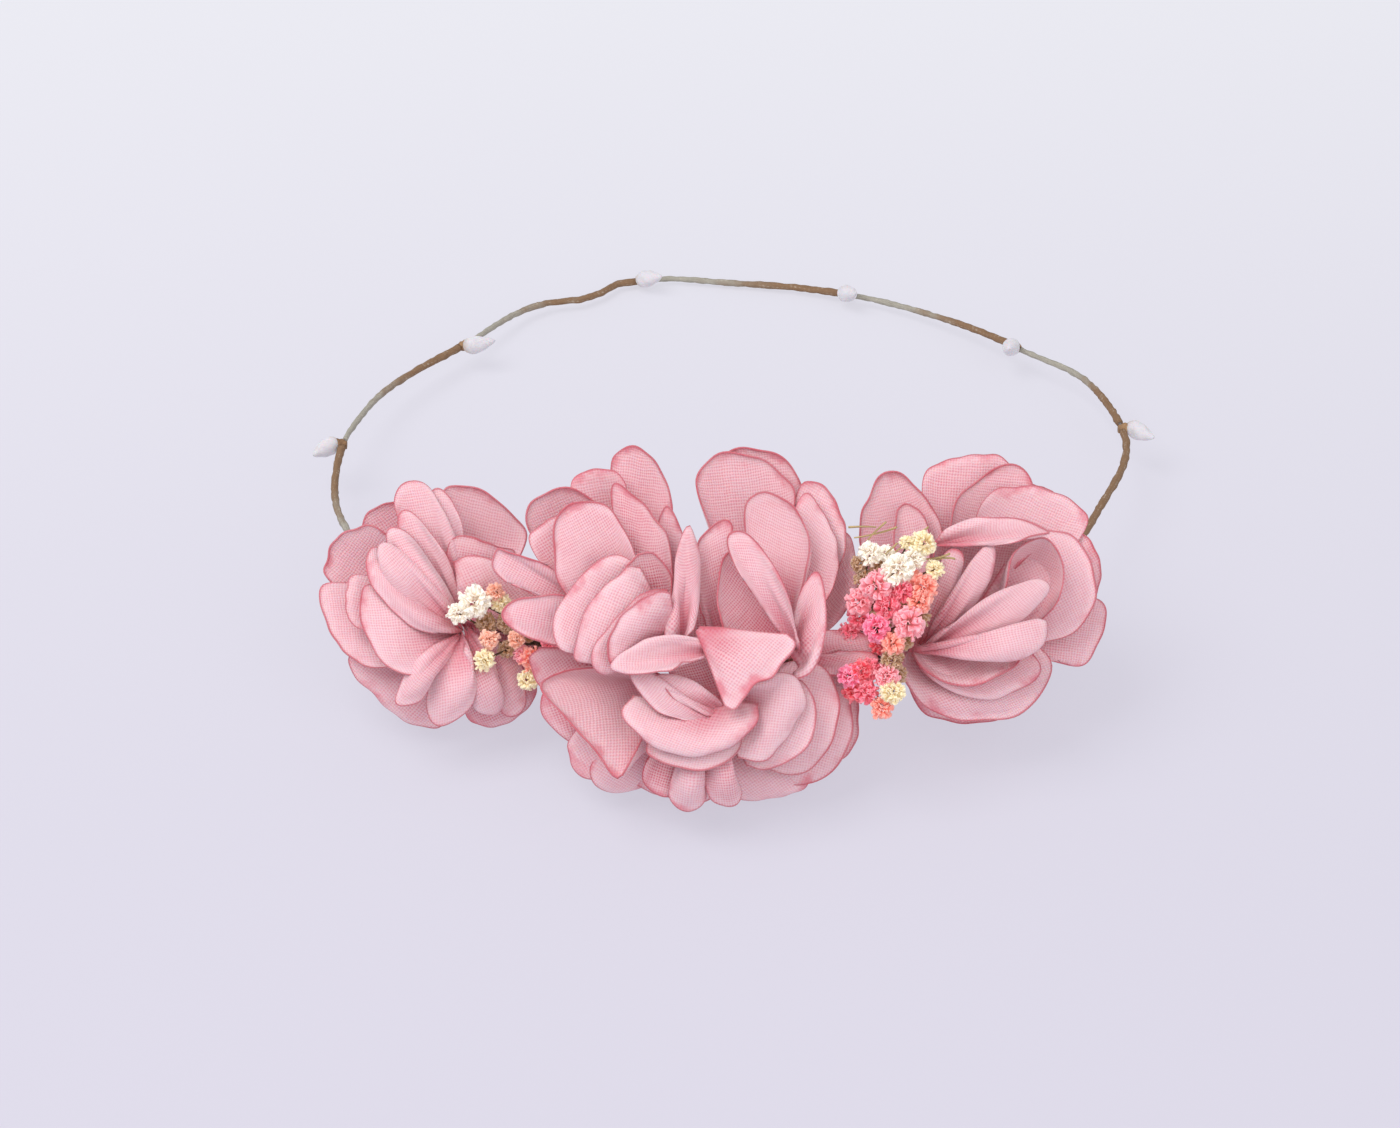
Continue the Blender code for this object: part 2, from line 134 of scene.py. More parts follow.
LEFT_PETALS = [
    Petal("outer", 0.28, (8, 1, -9), (0, 0, -3), [(2, 20, -9), (5, 25, -9), (12, 24, -10), (19, 18, -11),
        (21, 12, -10)]),
    Petal("outer", 0.70, (5, 1, -9), (0, 0, -3), [(-13, 15, -11), (-11, 20, -11), (-6, 22, -11),
        (-1, 22, -10)]),
    Petal("outer", 0.33, (9, 2, -6), (-1, 0, 2), [(0, 19, -5), (2, 24, -6), (5, 23, -6), (8, 17, -6)]),
    Petal("middle", 0.38, (8, 1, -5), (0, 0, 1), [(-5, 17, -4), (-5, 24, -4), (-2, 26, -4), (1, 25, -4),
        (5, 19, -3), (8, 12, -3)]),
    Petal("outer", 0.38, (4, -1, -7), (0, 0, -1), [(-16, 3, -4), (-19, 8, -4), (-18, 13, -4),
        (-15, 16, -3), (-10, 17, -2), (-6, 16, -1)]),
    Petal("middle", 0.48, (8, -1, -3), (0, 0, 4), [(-4, 13, 0), (-4, 19, 0), (-1, 19, 0), (6, 10, 0)]),
    Petal("inner", 0.38, (8, -2, 0), (0, 0, 7), [(-5, 9, 3), (-6, 16, 3), (-2, 15, 3), (5, 6, 2)]),
    Petal("inner", 0.28, (8, -3, 1), (0, 0, 6), [(-1, 1, 6), (-6, 6, 6), (-8, 11, 6), (-7, 14, 5),
        (-3, 12, 5), (4, 4, 3)]),
    Petal("middle", 0.38, (8, -3, 0), (0, 0, 7), [(3, -4, 7), (-3, -1, 7), (-8, 5, 6), (-10, 10, 5),
        (-8, 15, 3)]),
    Petal("middle", 0.23, (8, -4, 0), (-1, -1, 5), [(1, -13, 9), (-6, -10, 9), (-9, -5, 8), (-11, 1, 7),
        (-10, 8, 5)]),
    Petal("middle", 0.53, (5, -3, -3), (0, 0, 3), [(-11, -4, 5), (-14, 0, 4), (-14, 5, 3), (-12, 9, 3)]),
    Petal("outer", 0.33, (6, -4, -5), (-1, 0, 4), [(-7, -12, 3), (-13, -9, 1), (-17, -5, -1), (-19, 0, -2),
        (-20, 4, -3), (-18, 8, -4)]),
    Petal("outer", 0.38, (7, -4, -8), (-1, -1, 5), [(7, -20, -6), (2, -23, -8), (-3, -22, -7),
        (-8, -18, -5), (-13, -13, -4), (-16, -6, -4)]),
    Petal("middle", 0.38, (8, -4, 1), (0, 0, 7), [(3, -13, 6), (0, -17, 7), (-4, -17, 7), (-1, -9, 8)]),
    Petal("middle", 0.28, (8, -4, 1), (2, 0, 7), [(9, -9, 5), (11, -13, 5), (10, -18, 4), (6, -21, 3),
        (3, -21, 3), (1, -16, 4)]),
    Petal("middle", 0.43, (9, -3, 0), (1, 0, 6), [(14, -7, 4), (16, -12, 3), (17, -17, 2), (15, -20, 1),
        (11, -19, 2), (10, -13, 4)]),
    Petal("outer", 0.85, (9, -3, -7), (0, -1, 4), [(22, -11, -7), (22, -17, -7), (19, -21, -7),
        (14, -23, -8), (10, -22, -7), (7, -19, -5)]),
    Petal("middle", 0.53, (10, -3, -3), (1, 0, 6), [(20, -8, 0), (20, -18, -2), (17, -20, -2), (14, -16, 0)]),
    Petal("outer", 0.80, (8, -2, -8), (0, 0, 2), [(24, 6, -6), (27, 0, -6), (27, -6, -6), (24, -12, -6),
        (18, -14, -6)]),
    Petal("middle", 0.38, (8, -1, -2), (0, 0, 2), [(6, 12, 0), (13, 11, 0), (20, 9, -2), (24, 5, -3),
        (22, 0, -2), (17, -4, 0)]),
    Petal("middle", 0.58, (9, -1, -4), (0, 1, 1), [(4, 14, -2), (9, 15, -3), (15, 13, -4), (20, 12, -5)]),
]

UPPER_LEFT_PETALS = [
    Petal("outer", 0.57, (5, -4, -9), (0, 0, -3), [(0, 27, -11), (1, 31, -11), (5, 33, -11), (8, 31, -11),
        (11, 26, -11), (13, 18, -10)]),
    Petal("outer", 0.42, (3, -4, -8), (0, 0, -3), [(-7, 22, -8), (-7, 26, -8), (-4, 28, -8), (1, 28, -8),
        (4, 24, -8)]),
    Petal("outer", 0.57, (1, -4, -7), (0, 0, -3), [(-14, 13, -6), (-16, 19, -6), (-14, 23, -6),
        (-9, 25, -6), (-5, 24, -6), (0, 19, -5)]),
    Petal("middle", 0.62, (2, -4, -3), (0, 0, 1), [(-13, 10, -2), (-15, 15, -2), (-12, 18, -2),
        (-9, 19, -1), (-8, 14, 0)]),
    Petal("outer", 0.57, (3, -3, -5), (0, 0, 3), [(-12, 3, -1), (-16, 5, -1), (-20, 7, -1), (-22, 10, -1),
        (-21, 13, -1), (-17, 12, 0), (-11, 10, 1)]),
    Petal("outer", 0.52, (4, -4, -4), (0, 0, 4), [(-9, -6, 3), (-15, -4, 2), (-20, 0, 2), (-18, 3, 2),
        (-13, 4, 3), (-8, 5, 4)]),
    Petal("middle", 0.47, (7, -4, -2), (-1, 0, 3), [(-9, 3, 3), (-10, 10, 2), (-10, 17, 1), (-8, 21, 0),
        (-5, 22, 0), (0, 21, 0), (3, 17, 1), (6, 12, 2)]),
    Petal("middle", 0.72, (10, -3, -4), (0, 0, 2), [(0, 20, -3), (1, 25, -4), (4, 24, -4), (8, 20, -4),
        (11, 16, -3), (13, 9, -2)]),
    Petal("middle", 0.47, (14, -5, 2), (-2, 0, 4), [(-6, -8, 8), (-9, -6, 8), (-10, -1, 7), (-9, 3, 6),
        (-5, 8, 6), (-1, 11, 5), (5, 12, 4)]),
    Petal("middle", 0.42, (14, -5, 3), (-1, 0, 5), [(-3, -10, 10), (-6, -8, 10), (-6, -4, 10), (-3, 3, 9),
        (2, 8, 8), (5, 12, 6)]),
    Petal("inner", 0.95, (13, -4, 3), (0, 0, -2), [(2, 8, 6), (6, 12, 5), (9, 12, 5), (12, 8, 5),
        (12, 4, 5)]),
    Petal("middle", 0.47, (14, -5, 3), (-1, 0, 4), [(5, -8, 8), (0, -11, 10), (-3, -9, 11), (-2, -5, 11),
        (2, 0, 11), (6, 4, 10), (11, 7, 8)]),
    Petal("inner", 0.37, (13, -4, 5), (-1, 0, 4), [(6, -9, 10), (2, -10, 12), (0, -6, 13), (2, -1, 13),
        (6, 3, 12), (12, 6, 11)]),
    Petal("inner", 0.52, (14, -5, 6), (0, 0, 3), [(10, -4, 10), (12, 5, 8), (13, 12, 6), (15, 17, 4),
        (16, 17, 4), (18, 12, 5), (18, 5, 7), (17, -2, 9)]),
    Petal("outer", 0.62, (11, -4, -6), (0, 0, 0), [(9, 17, -6), (11, 21, -7), (13, 19, -6), (15, 13, -5)]),
    Petal("outer", 0.67, (2, -6, -7), (-1, -1, 3), [(-1, -18, -6), (-8, -17, -6), (-14, -12, -5),
        (-16, -6, -3)]),
]

UPPER_RIGHT_PETALS = [
    Petal("outer", 0.31, (-1, -4, -9), (0, 0, -3), [(-12, 22, -13), (-10, 32, -13), (-4, 34, -13),
        (3, 31, -13), (7, 23, -12)]),
    Petal("outer", 0.46, (-3, -4, -8), (0, 0, -3), [(-12, 18, -8), (-15, 27, -9), (-12, 32, -10),
        (-7, 33, -10), (-1, 31, -10), (4, 26, -9), (5, 20, -8)]),
    Petal("middle", 0.36, (2, -4, -2), (0, 0, -3), [(-7, 19, -3), (-5, 24, -3), (-1, 25, -3), (4, 22, -2),
        (7, 16, -1), (6, 9, 0), (4, 3, 2)]),
    Petal("middle", 0.51, (-10, -5, -1), (-1, 0, 2), [(-14, 1, 1), (-15, 10, -1), (-14, 16, -2),
        (-11, 19, -2), (-8, 19, -2), (-8, 12, 0)]),
    Petal("inner", 0.36, (4, -5, 4), (0, 0, 4), [(-7, 9, 8), (-9, 14, 7), (-9, 17, 7), (-6, 17, 7),
        (-2, 12, 7), (2, 5, 7), (4, -1, 7)]),
    Petal("middle", 0.80, (3, -6, 0), (0, 0, -3), [(-5, -6, 5), (-9, -4, 5), (-11, 0, 5), (-12, 6, 4),
        (-10, 13, 3), (-5, 14, 2), (0, 9, 2)]),
    Petal("outer", 0.41, (3, -4, -5), (0, 0, 1), [(3, 24, -6), (6, 25, -6), (9, 22, -6), (12, 16, -5),
        (12, 10, -4), (10, 4, -3)]),
    Petal("outer", 0.31, (3, -4, -7), (0, 0, 0), [(3, 25, -9), (6, 27, -9), (10, 26, -9), (13, 21, -8),
        (14, 15, -7), (12, 9, -6)]),
    Petal("outer", 0.46, (3, -5, -8), (0, 0, 1), [(12, 20, -10), (15, 16, -10), (16, 11, -10), (16, 6, -9),
        (13, 1, -8), (9, -3, -7)]),
    Petal("middle", 0.41, (3, -5, 1), (1, 0, 4), [(4, 3, 4), (6, 8, 4), (8, 10, 4), (9, 6, 5), (9, -1, 6),
        (7, -8, 6), (4, -12, 6)]),
    Petal("outer", 0.41, (4, -6, -4), (0, 0, 2), [(9, -1, -2), (15, -2, -3), (19, -3, -3), (20, -6, -3),
        (14, -7, -2)]),
    Petal("outer", 0.51, (4, -7, -4), (0, 0, 2), [(14, -5, -1), (19, -6, -1), (19, -8, -1), (13, -10, -1),
        (7, -10, 0)]),
    Petal("outer", 0.90, (-3, -6, -9), (0, 0, 1), [(-15, 6, -9), (-19, 0, -9), (-18, -6, -9),
        (-10, -10, -9)]),
]

LOWER_PETALS = [
    Petal("outer", 0.80, (-3, 2, -8), (0, 0, 2), [(-18, -13, -7), (-26, -8, -7), (-30, -4, -7),
        (-30, 0, -6), (-26, 3, -5)]),
    Petal("outer", 0.28, (-3, 0, -7), (0, 0, 4), [(-15, -16, -6), (-21, -16, -6), (-24, -14, -6),
        (-25, -9, -5), (-21, -4, -3)]),
    Petal("outer", 0.33, (-2, 0, -7), (0, -1, 5), [(-6, -14, -6), (-11, -18, -8), (-16, -19, -8),
        (-20, -17, -6), (-21, -11, -4)]),
    Petal("middle", 0.33, (-2, 1, -2), (1, 0, -5), [(-12, -8, 5), (-13, -12, 6), (-15, -15, 6),
        (-19, -11, 6), (-25, -4, 5), (-30, 2, 3), (-26, 5, 0), (-19, 6, 0), (-12, 6, 2)]),
    Petal("middle", 0.28, (4, 9, 4), (0, 0, 3), [(-4, 6, 12), (-10, 5, 13), (-17, 6, 12), (-13, 10, 11),
        (-7, 12, 10), (-1, 12, 8)]),
    Petal("inner", 1.00, (6, -1, 0), (0, 0, -1), [(-7, 4, 4), (-4, 8, 4), (1, 9, 3), (5, 9, 3), (7, 3, 4)]),
    Petal("inner", 0.23, (6, -3, 2), (0, 0, 4), [(-4, -1, 8), (-9, 3, 8), (-7, 5, 8), (-2, 4, 7), (3, 1, 7)]),
    Petal("inner", 0.13, (5, -4, 4), (0, 0, 3), [(-4, -4, 10), (-9, -1, 10), (-13, 5, 9), (-9, 5, 9),
        (-5, 1, 9), (0, -2, 8)]),
    Petal("outer", 0.75, (2, 0, -8), (0, 0, 3), [(24, 5, -9), (30, 1, -9), (31, -4, -9), (30, -10, -9),
        (24, -15, -9)]),
    Petal("outer", 0.18, (3, 0, -6), (1, 0, 5), [(21, 8, -5), (26, 6, -5), (29, 0, -5), (29, -8, -5),
        (26, -14, -6), (20, -17, -6), (14, -17, -5)]),
    Petal("outer", 0.00, (3, 0, -4), (1, 0, 5), [(16, 7, -1), (21, 7, -1), (25, 4, -1), (27, -2, -1),
        (25, -9, -1), (21, -14, -2), (14, -16, -1)]),
    Petal("middle", 0.08, (4, -1, -2), (1, 0, 5), [(17, 5, 3), (20, 3, 3), (22, -1, 3), (21, -8, 3),
        (17, -12, 3), (10, -15, 4)]),
    Petal("middle", 0.00, (4, -1, 0), (1, 0, 5), [(10, 3, 7), (15, 5, 7), (19, 4, 6), (21, 0, 6),
        (19, -5, 6), (14, -11, 6), (8, -13, 7)]),
    Petal("outer", 0.18, (2, -1, -8), (0, -2, 5), [(23, -12, -7), (20, -18, -7), (14, -20, -8),
        (9, -20, -8), (4, -18, -6)]),
    Petal("outer", 0.48, (1, -1, -8), (0, -2, 5), [(5, -19, -6), (-2, -21, -8), (-8, -19, -8),
        (-14, -16, -6)]),
    Petal("middle", 0.95, (-3, -3, -3), (0, -1, 3), [(-3, -14, 2), (-4, -18, 0), (-7, -19, 0),
        (-10, -17, 0), (-11, -13, 2)]),
    Petal("middle", 0.23, (0, -3, 0), (0, -2, 8), [(1, -14, 3), (1, -19, 1), (-2, -21, 1), (-5, -19, 1),
        (-5, -14, 3)]),
    Petal("middle", 0.70, (4, -3, 1), (0, -2, 8), [(5, -12, 4), (8, -17, 2), (7, -20, 1), (3, -19, 2),
        (0, -13, 4)]),
    Petal("middle", 0.18, (3, 0, 2), (0, -1, 6), [(13, -1, 8), (11, -5, 9), (6, -9, 10), (0, -11, 10),
        (-6, -10, 10), (-12, -6, 10), (-15, -2, 9), (-15, 1, 8)]),
    Petal("middle", 0.08, (3, 0, 0), (0, -1, 5), [(10, -8, 7), (5, -12, 8), (-1, -13, 8), (-7, -12, 8),
        (-12, -9, 7)]),
    Petal("inner", 0.28, (0, 13, 7), (0, 0, 2), [(20, 12, 8), (17, 8, 9), (14, 4, 10), (10, 2, 11),
        (6, -4, 11)]),
]

RIGHT_PETALS = [
    Petal("outer", 0.43, (-5, 0, -10), (0, 0, -3), [(-13, 27, -13), (-9, 32, -14), (-3, 34, -14),
        (1, 34, -14), (5, 33, -14), (9, 28, -13)]),
    Petal("outer", 0.80, (-3, 0, -10), (0, 0, -2), [(8, 28, -15), (11, 28, -15), (15, 26, -15),
        (17, 20, -14)]),
    Petal("outer", 0.38, (-12, -2, -7), (0, 0, -2), [(-24, 13, -7), (-24, 21, -8), (-22, 27, -9),
        (-19, 31, -9), (-15, 30, -9), (-11, 25, -8), (-7, 19, -7)]),
    Petal("outer", 0.48, (-6, 0, -8), (0, 0, -2), [(-7, 18, -9), (-5, 25, -10), (-1, 29, -11),
        (4, 32, -11), (8, 31, -11), (12, 25, -10)]),
    Petal("outer", 0.33, (-4, 0, -7), (0, 0, -1), [(-2, 20, -7), (1, 26, -8), (7, 28, -9), (13, 27, -9),
        (19, 24, -9), (22, 18, -8)]),
    Petal("outer", 0.68, (-3, -1, -8), (0, 0, 1), [(17, 20, -9), (21, 17, -9), (23, 11, -9), (22, 4, -9)]),
    Petal("outer", 0.43, (-3, -1, -7), (1, 0, 3), [(21, 8, -6), (24, 3, -7), (23, -2, -7), (20, -7, -7),
        (16, -7, -6), (11, -6, -4)]),
    Petal("middle", 0.43, (-12, -2, -4), (0, 0, -1), [(-18, 15, -4), (-17, 23, -6), (-14, 24, -6),
        (-10, 20, -5)]),
    Petal("middle", 0.48, (-6, -1, -6), (0, 0, -4), [(-12, 14, 1), (-9, 18, 1), (-5, 20, 1), (1, 21, 1),
        (6, 21, 1), (12, 18, 0)]),
    Petal("middle", 0.28, (-10, 16, 1), (0, 0, 3), [(-6, 20, 3), (-1, 21, 4), (4, 21, 4), (9, 20, 4),
        (12, 18, 4), (7, 17, 6), (1, 16, 6)]),
    Petal("middle", 0.28, (-4, -2, -4), (1, 0, 3), [(8, 20, -4), (14, 19, -3), (19, 16, -3), (21, 10, -3),
        (21, 5, -3), (18, 0, -2), (13, -3, 0)]),
    Petal("middle", 0.38, (4, 2, -8), (0, 0, -4), [(1, 3, 3), (3, 8, 5), (4, 14, 5), (7, 17, 4),
        (11, 18, 4), (14, 15, 4), (15, 11, 4), (14, 6, 5), (11, 1, 6)]),
    Petal("inner", 0.48, (-13, -3, 0), (0, 0, 4), [(-11, 8, 3), (-7, 15, 3), (-5, 13, 3), (-7, 5, 4)]),
    Petal("inner", 0.43, (-12, -3, 1), (0, 0, 5), [(-7, 7, 5), (-3, 14, 5), (1, 17, 4), (1, 11, 5),
        (-3, 3, 6)]),
    Petal("inner", 0.33, (-13, -4, 2), (0, 0, 6), [(-6, 1, 8), (-1, 6, 8), (5, 9, 8), (10, 10, 7),
        (12, 8, 7), (9, 4, 8), (3, -1, 9)]),
    Petal("outer", 0.48, (-8, -3, -10), (0, -1, 3), [(15, -8, -10), (9, -15, -12), (2, -18, -14),
        (-4, -19, -14), (-11, -17, -13), (-16, -12, -10)]),
    Petal("outer", 0.28, (-11, -3, -6), (0, -1, 7), [(13, -2, 0), (12, -10, 0), (7, -16, 0), (0, -17, 0),
        (-6, -17, 1), (-12, -14, 2), (-17, -9, 3), (-17, -5, 3)]),
    Petal("middle", 0.38, (-12, -2, -4), (1, -1, 6), [(12, -4, 4), (9, -10, 4), (4, -13, 4), (-2, -14, 5),
        (-8, -12, 6), (-13, -8, 6), (-15, -5, 5)]),
    Petal("middle", 0.75, (-13, -2, -3), (2, 0, -4), [(8, -4, 7), (3, -8, 8), (-3, -10, 9), (-9, -9, 9),
        (-13, -7, 8), (-15, -5, 7)]),
    Petal("outer", 0.80, (-12, -2, -8), (0, 0, 2), [(-20, 8, -8), (-24, 2, -8), (-24, -5, -8),
        (-20, -11, -8)]),
    Petal("inner", 0.38, (-15, -4, 4), (0, 0, 5), [(-5, -3, 9), (1, -2, 9), (7, 0, 9), (11, 2, 9),
        (10, -3, 10), (5, -6, 10), (-2, -6, 10)]),
]

# Each flower's heart, measured from its glue boss, and its petals.
FLOWERS = {
    "flower_left": ((-4, 0, 8), LEFT_PETALS),
    "flower_upper_left": ((-1, 4, 8), UPPER_LEFT_PETALS),
    "flower_upper_right": ((0, 4, 8), UPPER_RIGHT_PETALS),
    "flower_lower": ((-1, -3, 8), LOWER_PETALS),
    "flower_right": ((4, 0, 9), RIGHT_PETALS),
}

# ---------------------------------------------------------------- dried gypsophila

Floret = namedtuple("Floret", "colour size place")

WHITE = (1.0, 0.94, 0.82)
CREAM = (0.96, 0.84, 0.55)
PINK = (1.0, 0.40, 0.46)
HOT_PINK = (1.0, 0.24, 0.40)
DEEP_PINK = (0.95, 0.20, 0.28)
CORAL = (1.0, 0.38, 0.30)
PEACH = (0.95, 0.50, 0.36)
RED = (0.90, 0.11, 0.15)
TAN = (0.52, 0.30, 0.16)
STRAW = (0.52, 0.38, 0.17)
DARK_STALK = (0.10, 0.07, 0.03)

# Each floret tint and the slot name listed beside it; only the tints are used.
DYES = {
    WHITE: "dried_white", CREAM: "dried_cream", PINK: "dried_pink", HOT_PINK: "dried_pink",
    DEEP_PINK: "dried_pink", CORAL: "dried_coral", PEACH: "dried_coral", RED: "dried_coral",
    TAN: "dried_cream",
}

# Sprigs by CAD node: the flower they are measured from, the root of the stalks and the florets.
SPRIGS = {
    "sprig_right_white": ("flower_upper_right", (18, 2, -6), [
        Floret(WHITE, 0.80, (18, 13, 1)), Floret(WHITE, 1.02, (23, 10, 3)), Floret(WHITE, 0.76, (26, 12, 1)),
        Floret(CREAM, 0.82, (28, 15, 1)), Floret(CREAM, 0.65, (30, 10, 1)), Floret(TAN, 0.80, (20, 10, -1)),
        Floret(TAN, 0.70, (17, 8, -1)), Floret(WHITE, 0.60, (21, 13, 0)), Floret(TAN, 0.60, (16, 11, -1)),
        Floret(CREAM, 0.50, (25, 15, 0)),
    ]),
    "sprig_right_pink": ("flower_upper_right", (18, -3, -6), [
        Floret(PINK, 1.05, (19, 7, 2)), Floret(PINK, 0.90, (16, 4, 0)), Floret(PINK, 1.05, (25, 0, 4)),
        Floret(DEEP_PINK, 0.90, (21, 3, 2)), Floret(DEEP_PINK, 0.75, (24, 6, 2)),
        Floret(DEEP_PINK, 0.80, (16, 1, -2)),
        Floret(TAN, 0.80, (20, 1, -1)), Floret(DEEP_PINK, 0.70, (14, -2, -3)), Floret(RED, 0.70, (18, 4, -3)),
        Floret(TAN, 0.80, (24, -3, 0)), Floret(TAN, 0.75, (25, 3, -1)), Floret(RED, 0.70, (20, -4, -1)),
    ]),
    "sprig_right_coral": ("flower_upper_right", (20, -5, -6), [
        Floret(CORAL, 0.90, (28, 7, 2)), Floret(CORAL, 0.85, (27, 4, 3)), Floret(HOT_PINK, 0.95, (19, -1, 3)),
        Floret(CORAL, 0.80, (22, -4, 4)), Floret(CORAL, 0.75, (25, 9, 0)), Floret(TAN, 0.75, (27, 1, 0)),
        Floret(TAN, 0.75, (22, -7, 3)),
    ]),
    "sprig_right_low": ("flower_upper_right", (18, -6, -8), [
        Floret(RED, 0.75, (16, -9, 2)), Floret(HOT_PINK, 0.80, (14, -10, 2)),
        Floret(PINK, 0.85, (21, -10, 3)),
        Floret(DEEP_PINK, 0.80, (17, -13, 2)), Floret(CREAM, 0.80, (22, -13, 4)),
        Floret(CORAL, 0.75, (20, -16, 2)),
        Floret(DEEP_PINK, 0.80, (18, -9, 0)), Floret(RED, 0.75, (15, -13, 0)),
        Floret(TAN, 0.70, (23, -10, 0)),
    ]),
    "sprig_left_white": ("flower_left", (20, -4, -7), [
        Floret(WHITE, 1.10, (11, 2, 6)), Floret(WHITE, 0.72, (8, 0, 7)), Floret(CREAM, 0.65, (16, 2, 4)),
    ]),
    "sprig_left_coral": ("flower_left", (22, -5, -7), [
        Floret(PEACH, 0.60, (15, 4, 5)), Floret(PEACH, 0.65, (14, -5, 7)), Floret(PEACH, 0.60, (19, -5, 5)),
        Floret(RED, 0.50, (24, 3, 2)), Floret(TAN, 0.70, (17, -2, 3)), Floret(PEACH, 0.55, (23, -1, 2)),
        Floret(TAN, 0.70, (13, -2, 3)), Floret(TAN, 0.65, (20, 0, 1)), Floret(TAN, 0.60, (21, -4, 1)),
    ]),
    "sprig_left_low": ("flower_left", (24, -6, -7), [
        Floret(CREAM, 0.75, (13, -9, 7)), Floret(CORAL, 0.90, (22, -9, 4)), Floret(CREAM, 0.70, (21, -13, 4)),
        Floret(DEEP_PINK, 0.60, (25, -6, 2)), Floret(TAN, 0.55, (26, -10, 2)),
        Floret(PINK, 0.60, (20, -8, 3)),
        Floret(TAN, 0.55, (17, -7, 3)),
    ]),
}

# Loose straws that stick out of the right-hand bunch, end to end.
STRAWS = [
    ((14, 18, -3), (19, 18, 0)), ((21, 19, 0), (16, 13, -2)), ((23, 18, 0), (15, 16, -2)),
    ((29, 18, -1), (21, 12, 0)), ((33, 13, 0), (27, 12, 0)),
    ((34, 12, 0), (29, 11, 0)), ((23, 15, 2), (20, 12, 0)),
]


# ---------------------------------------------------------------- surfaces

def skin(name, points, uv=None, fields=None, closed=False):
    """A mesh over a grid of points: rows run along it and columns across it.

    A closed grid joins its last column to its first and ends in a point at both ends, so that all
    points of its first row, and of its last, are the same. uv holds one more column than points on
    a closed grid; fields are named values at the points.
    """
    rows, columns = points.shape[:2]
    wide = columns + 1 if closed else columns
    corner = np.arange(rows * wide).reshape(rows, wide)
    vertex = (np.arange(rows) * columns)[:, None] + (np.arange(wide) % columns)[None, :]
    quads = np.stack([corner[:-1, :-1], corner[:-1, 1:], corner[1:, 1:], corner[1:, :-1]], -1)
    polygons = [quads.reshape(-1, 4)]
    if closed:
        vertex[0], vertex[-1] = vertex[0, 0], vertex[-1, 0]
        polygons = [quads[1:-1].reshape(-1, 4), quads[0][:, [0, 2, 3]], quads[-1][:, [0, 1, 2]]]
    corners = np.concatenate([p.ravel() for p in polygons])
    used, renumbered = np.unique(vertex.ravel()[corners], return_inverse=True)
    faces, start = [], 0
    for p in polygons:
        faces += renumbered[start:start + p.size].reshape(p.shape).tolist()
        start += p.size
    mesh = bpy.data.meshes.new(name)
    mesh.from_pydata(points.reshape(-1, 3)[used].tolist(), [], faces)
    if uv is not None:
        layer = mesh.uv_layers.new(name="cloth")
        layer.data.foreach_set("uv", uv.reshape(-1, 2)[corners].astype(np.float32).ravel())
    for field, values in (fields or {}).items():
        attribute = mesh.attributes.new(field, "FLOAT", "POINT")
        attribute.data.foreach_set("value", values.reshape(-1)[used].astype(np.float32))
    mesh.shade_smooth()
    piece = bpy.data.objects.new(name, mesh)
    bpy.context.scene.collection.objects.link(piece)
    return piece


def smooth_line(points, count):
    """count points, evenly spaced, on a Catmull-Rom curve through the given points."""
    p = np.asarray(points, float)
    p = np.vstack([2 * p[0] - p[1], p, 2 * p[-1] - p[-2]])
    t = np.linspace(0, len(p) - 3, 40 * (len(p) - 3) + 1)
    k = np.minimum(t.astype(int), len(p) - 4)
    s = (t - k)[:, None]
    a, b, c, d = p[k], p[k + 1], p[k + 2], p[k + 3]
    fine = 0.5 * (2 * b + (c - a) * s + (2 * a - 5 * b + 4 * c - d) * s**2 + (3 * b - a - 3 * c + d) * s**3)
    run = np.concatenate([[0], np.cumsum(np.linalg.norm(np.diff(fine, axis=0), axis=1))])
    at = np.linspace(0, run[-1], count)
    return np.stack([np.interp(at, run, fine[:, i]) for i in range(fine.shape[1])], -1)


def unit(v):
    """The vectors of an array, each made one long."""
    return v / np.maximum(np.linalg.norm(v, axis=-1, keepdims=True), 1e-12)


def grid_normals(p):
    """The direction square to a grid of points, from its slopes along rows and columns."""
    n = unit(np.cross(np.gradient(p, axis=1), np.gradient(p, axis=0)))
    n[0] = n[1]
    return n


def waves(rng, u, v, count=5, most=2.5):
    """Gentle unevenness of about one: a sum of sine waves of random slope and phase."""
    total = np.zeros(np.broadcast(u, v).shape)
    for _ in range(count):
        a, b = rng.uniform(-most, most, 2)
        total = total + np.sin(TAU * (a * u + b * v) + rng.uniform(0, TAU))
    return total / math.sqrt(count)


def tube(name, path, radius, sides, fields=None):
    """A closed tube: circles of the given radius square to a path, drawn to a point at both ends.

    radius is one number for each point of the path, or one for each point and side.
    """
    path = np.asarray(path, float)
    ahead = unit(np.gradient(path, axis=0))
    plumb = np.eye(3)[np.argmin(np.abs(ahead).max(0))]
    aside = unit(np.cross(ahead, plumb))
    over = np.cross(aside, ahead)
    turn = np.arange(sides) * TAU / sides
    ring = np.cos(turn)[:, None] * aside[:, None] + np.sin(turn)[:, None] * over[:, None]
    r = np.broadcast_to(radius.reshape(len(path), -1), (len(path), sides))
    points = path[:, None] + ring * r[..., None]
    ends = [np.broadcast_to(path[i], (1, sides, 3)) for i in (0, -1)]
    points = np.concatenate([ends[0], points, ends[1]])
    run = np.concatenate([[0], np.cumsum(np.linalg.norm(np.diff(path, axis=0), axis=1))])
    run = np.concatenate([[0], run, run[-1:]])
    around = np.linspace(0, TAU * float(np.mean(r)), sides + 1)
    uv = np.stack(np.broadcast_arrays(run[:, None], around[None, :]), -1)
    grown = {k: np.vstack([v[:1], v, v[-1:]]) for k, v in (fields or {}).items()}
    return skin(name, points, uv, grown, closed=True)


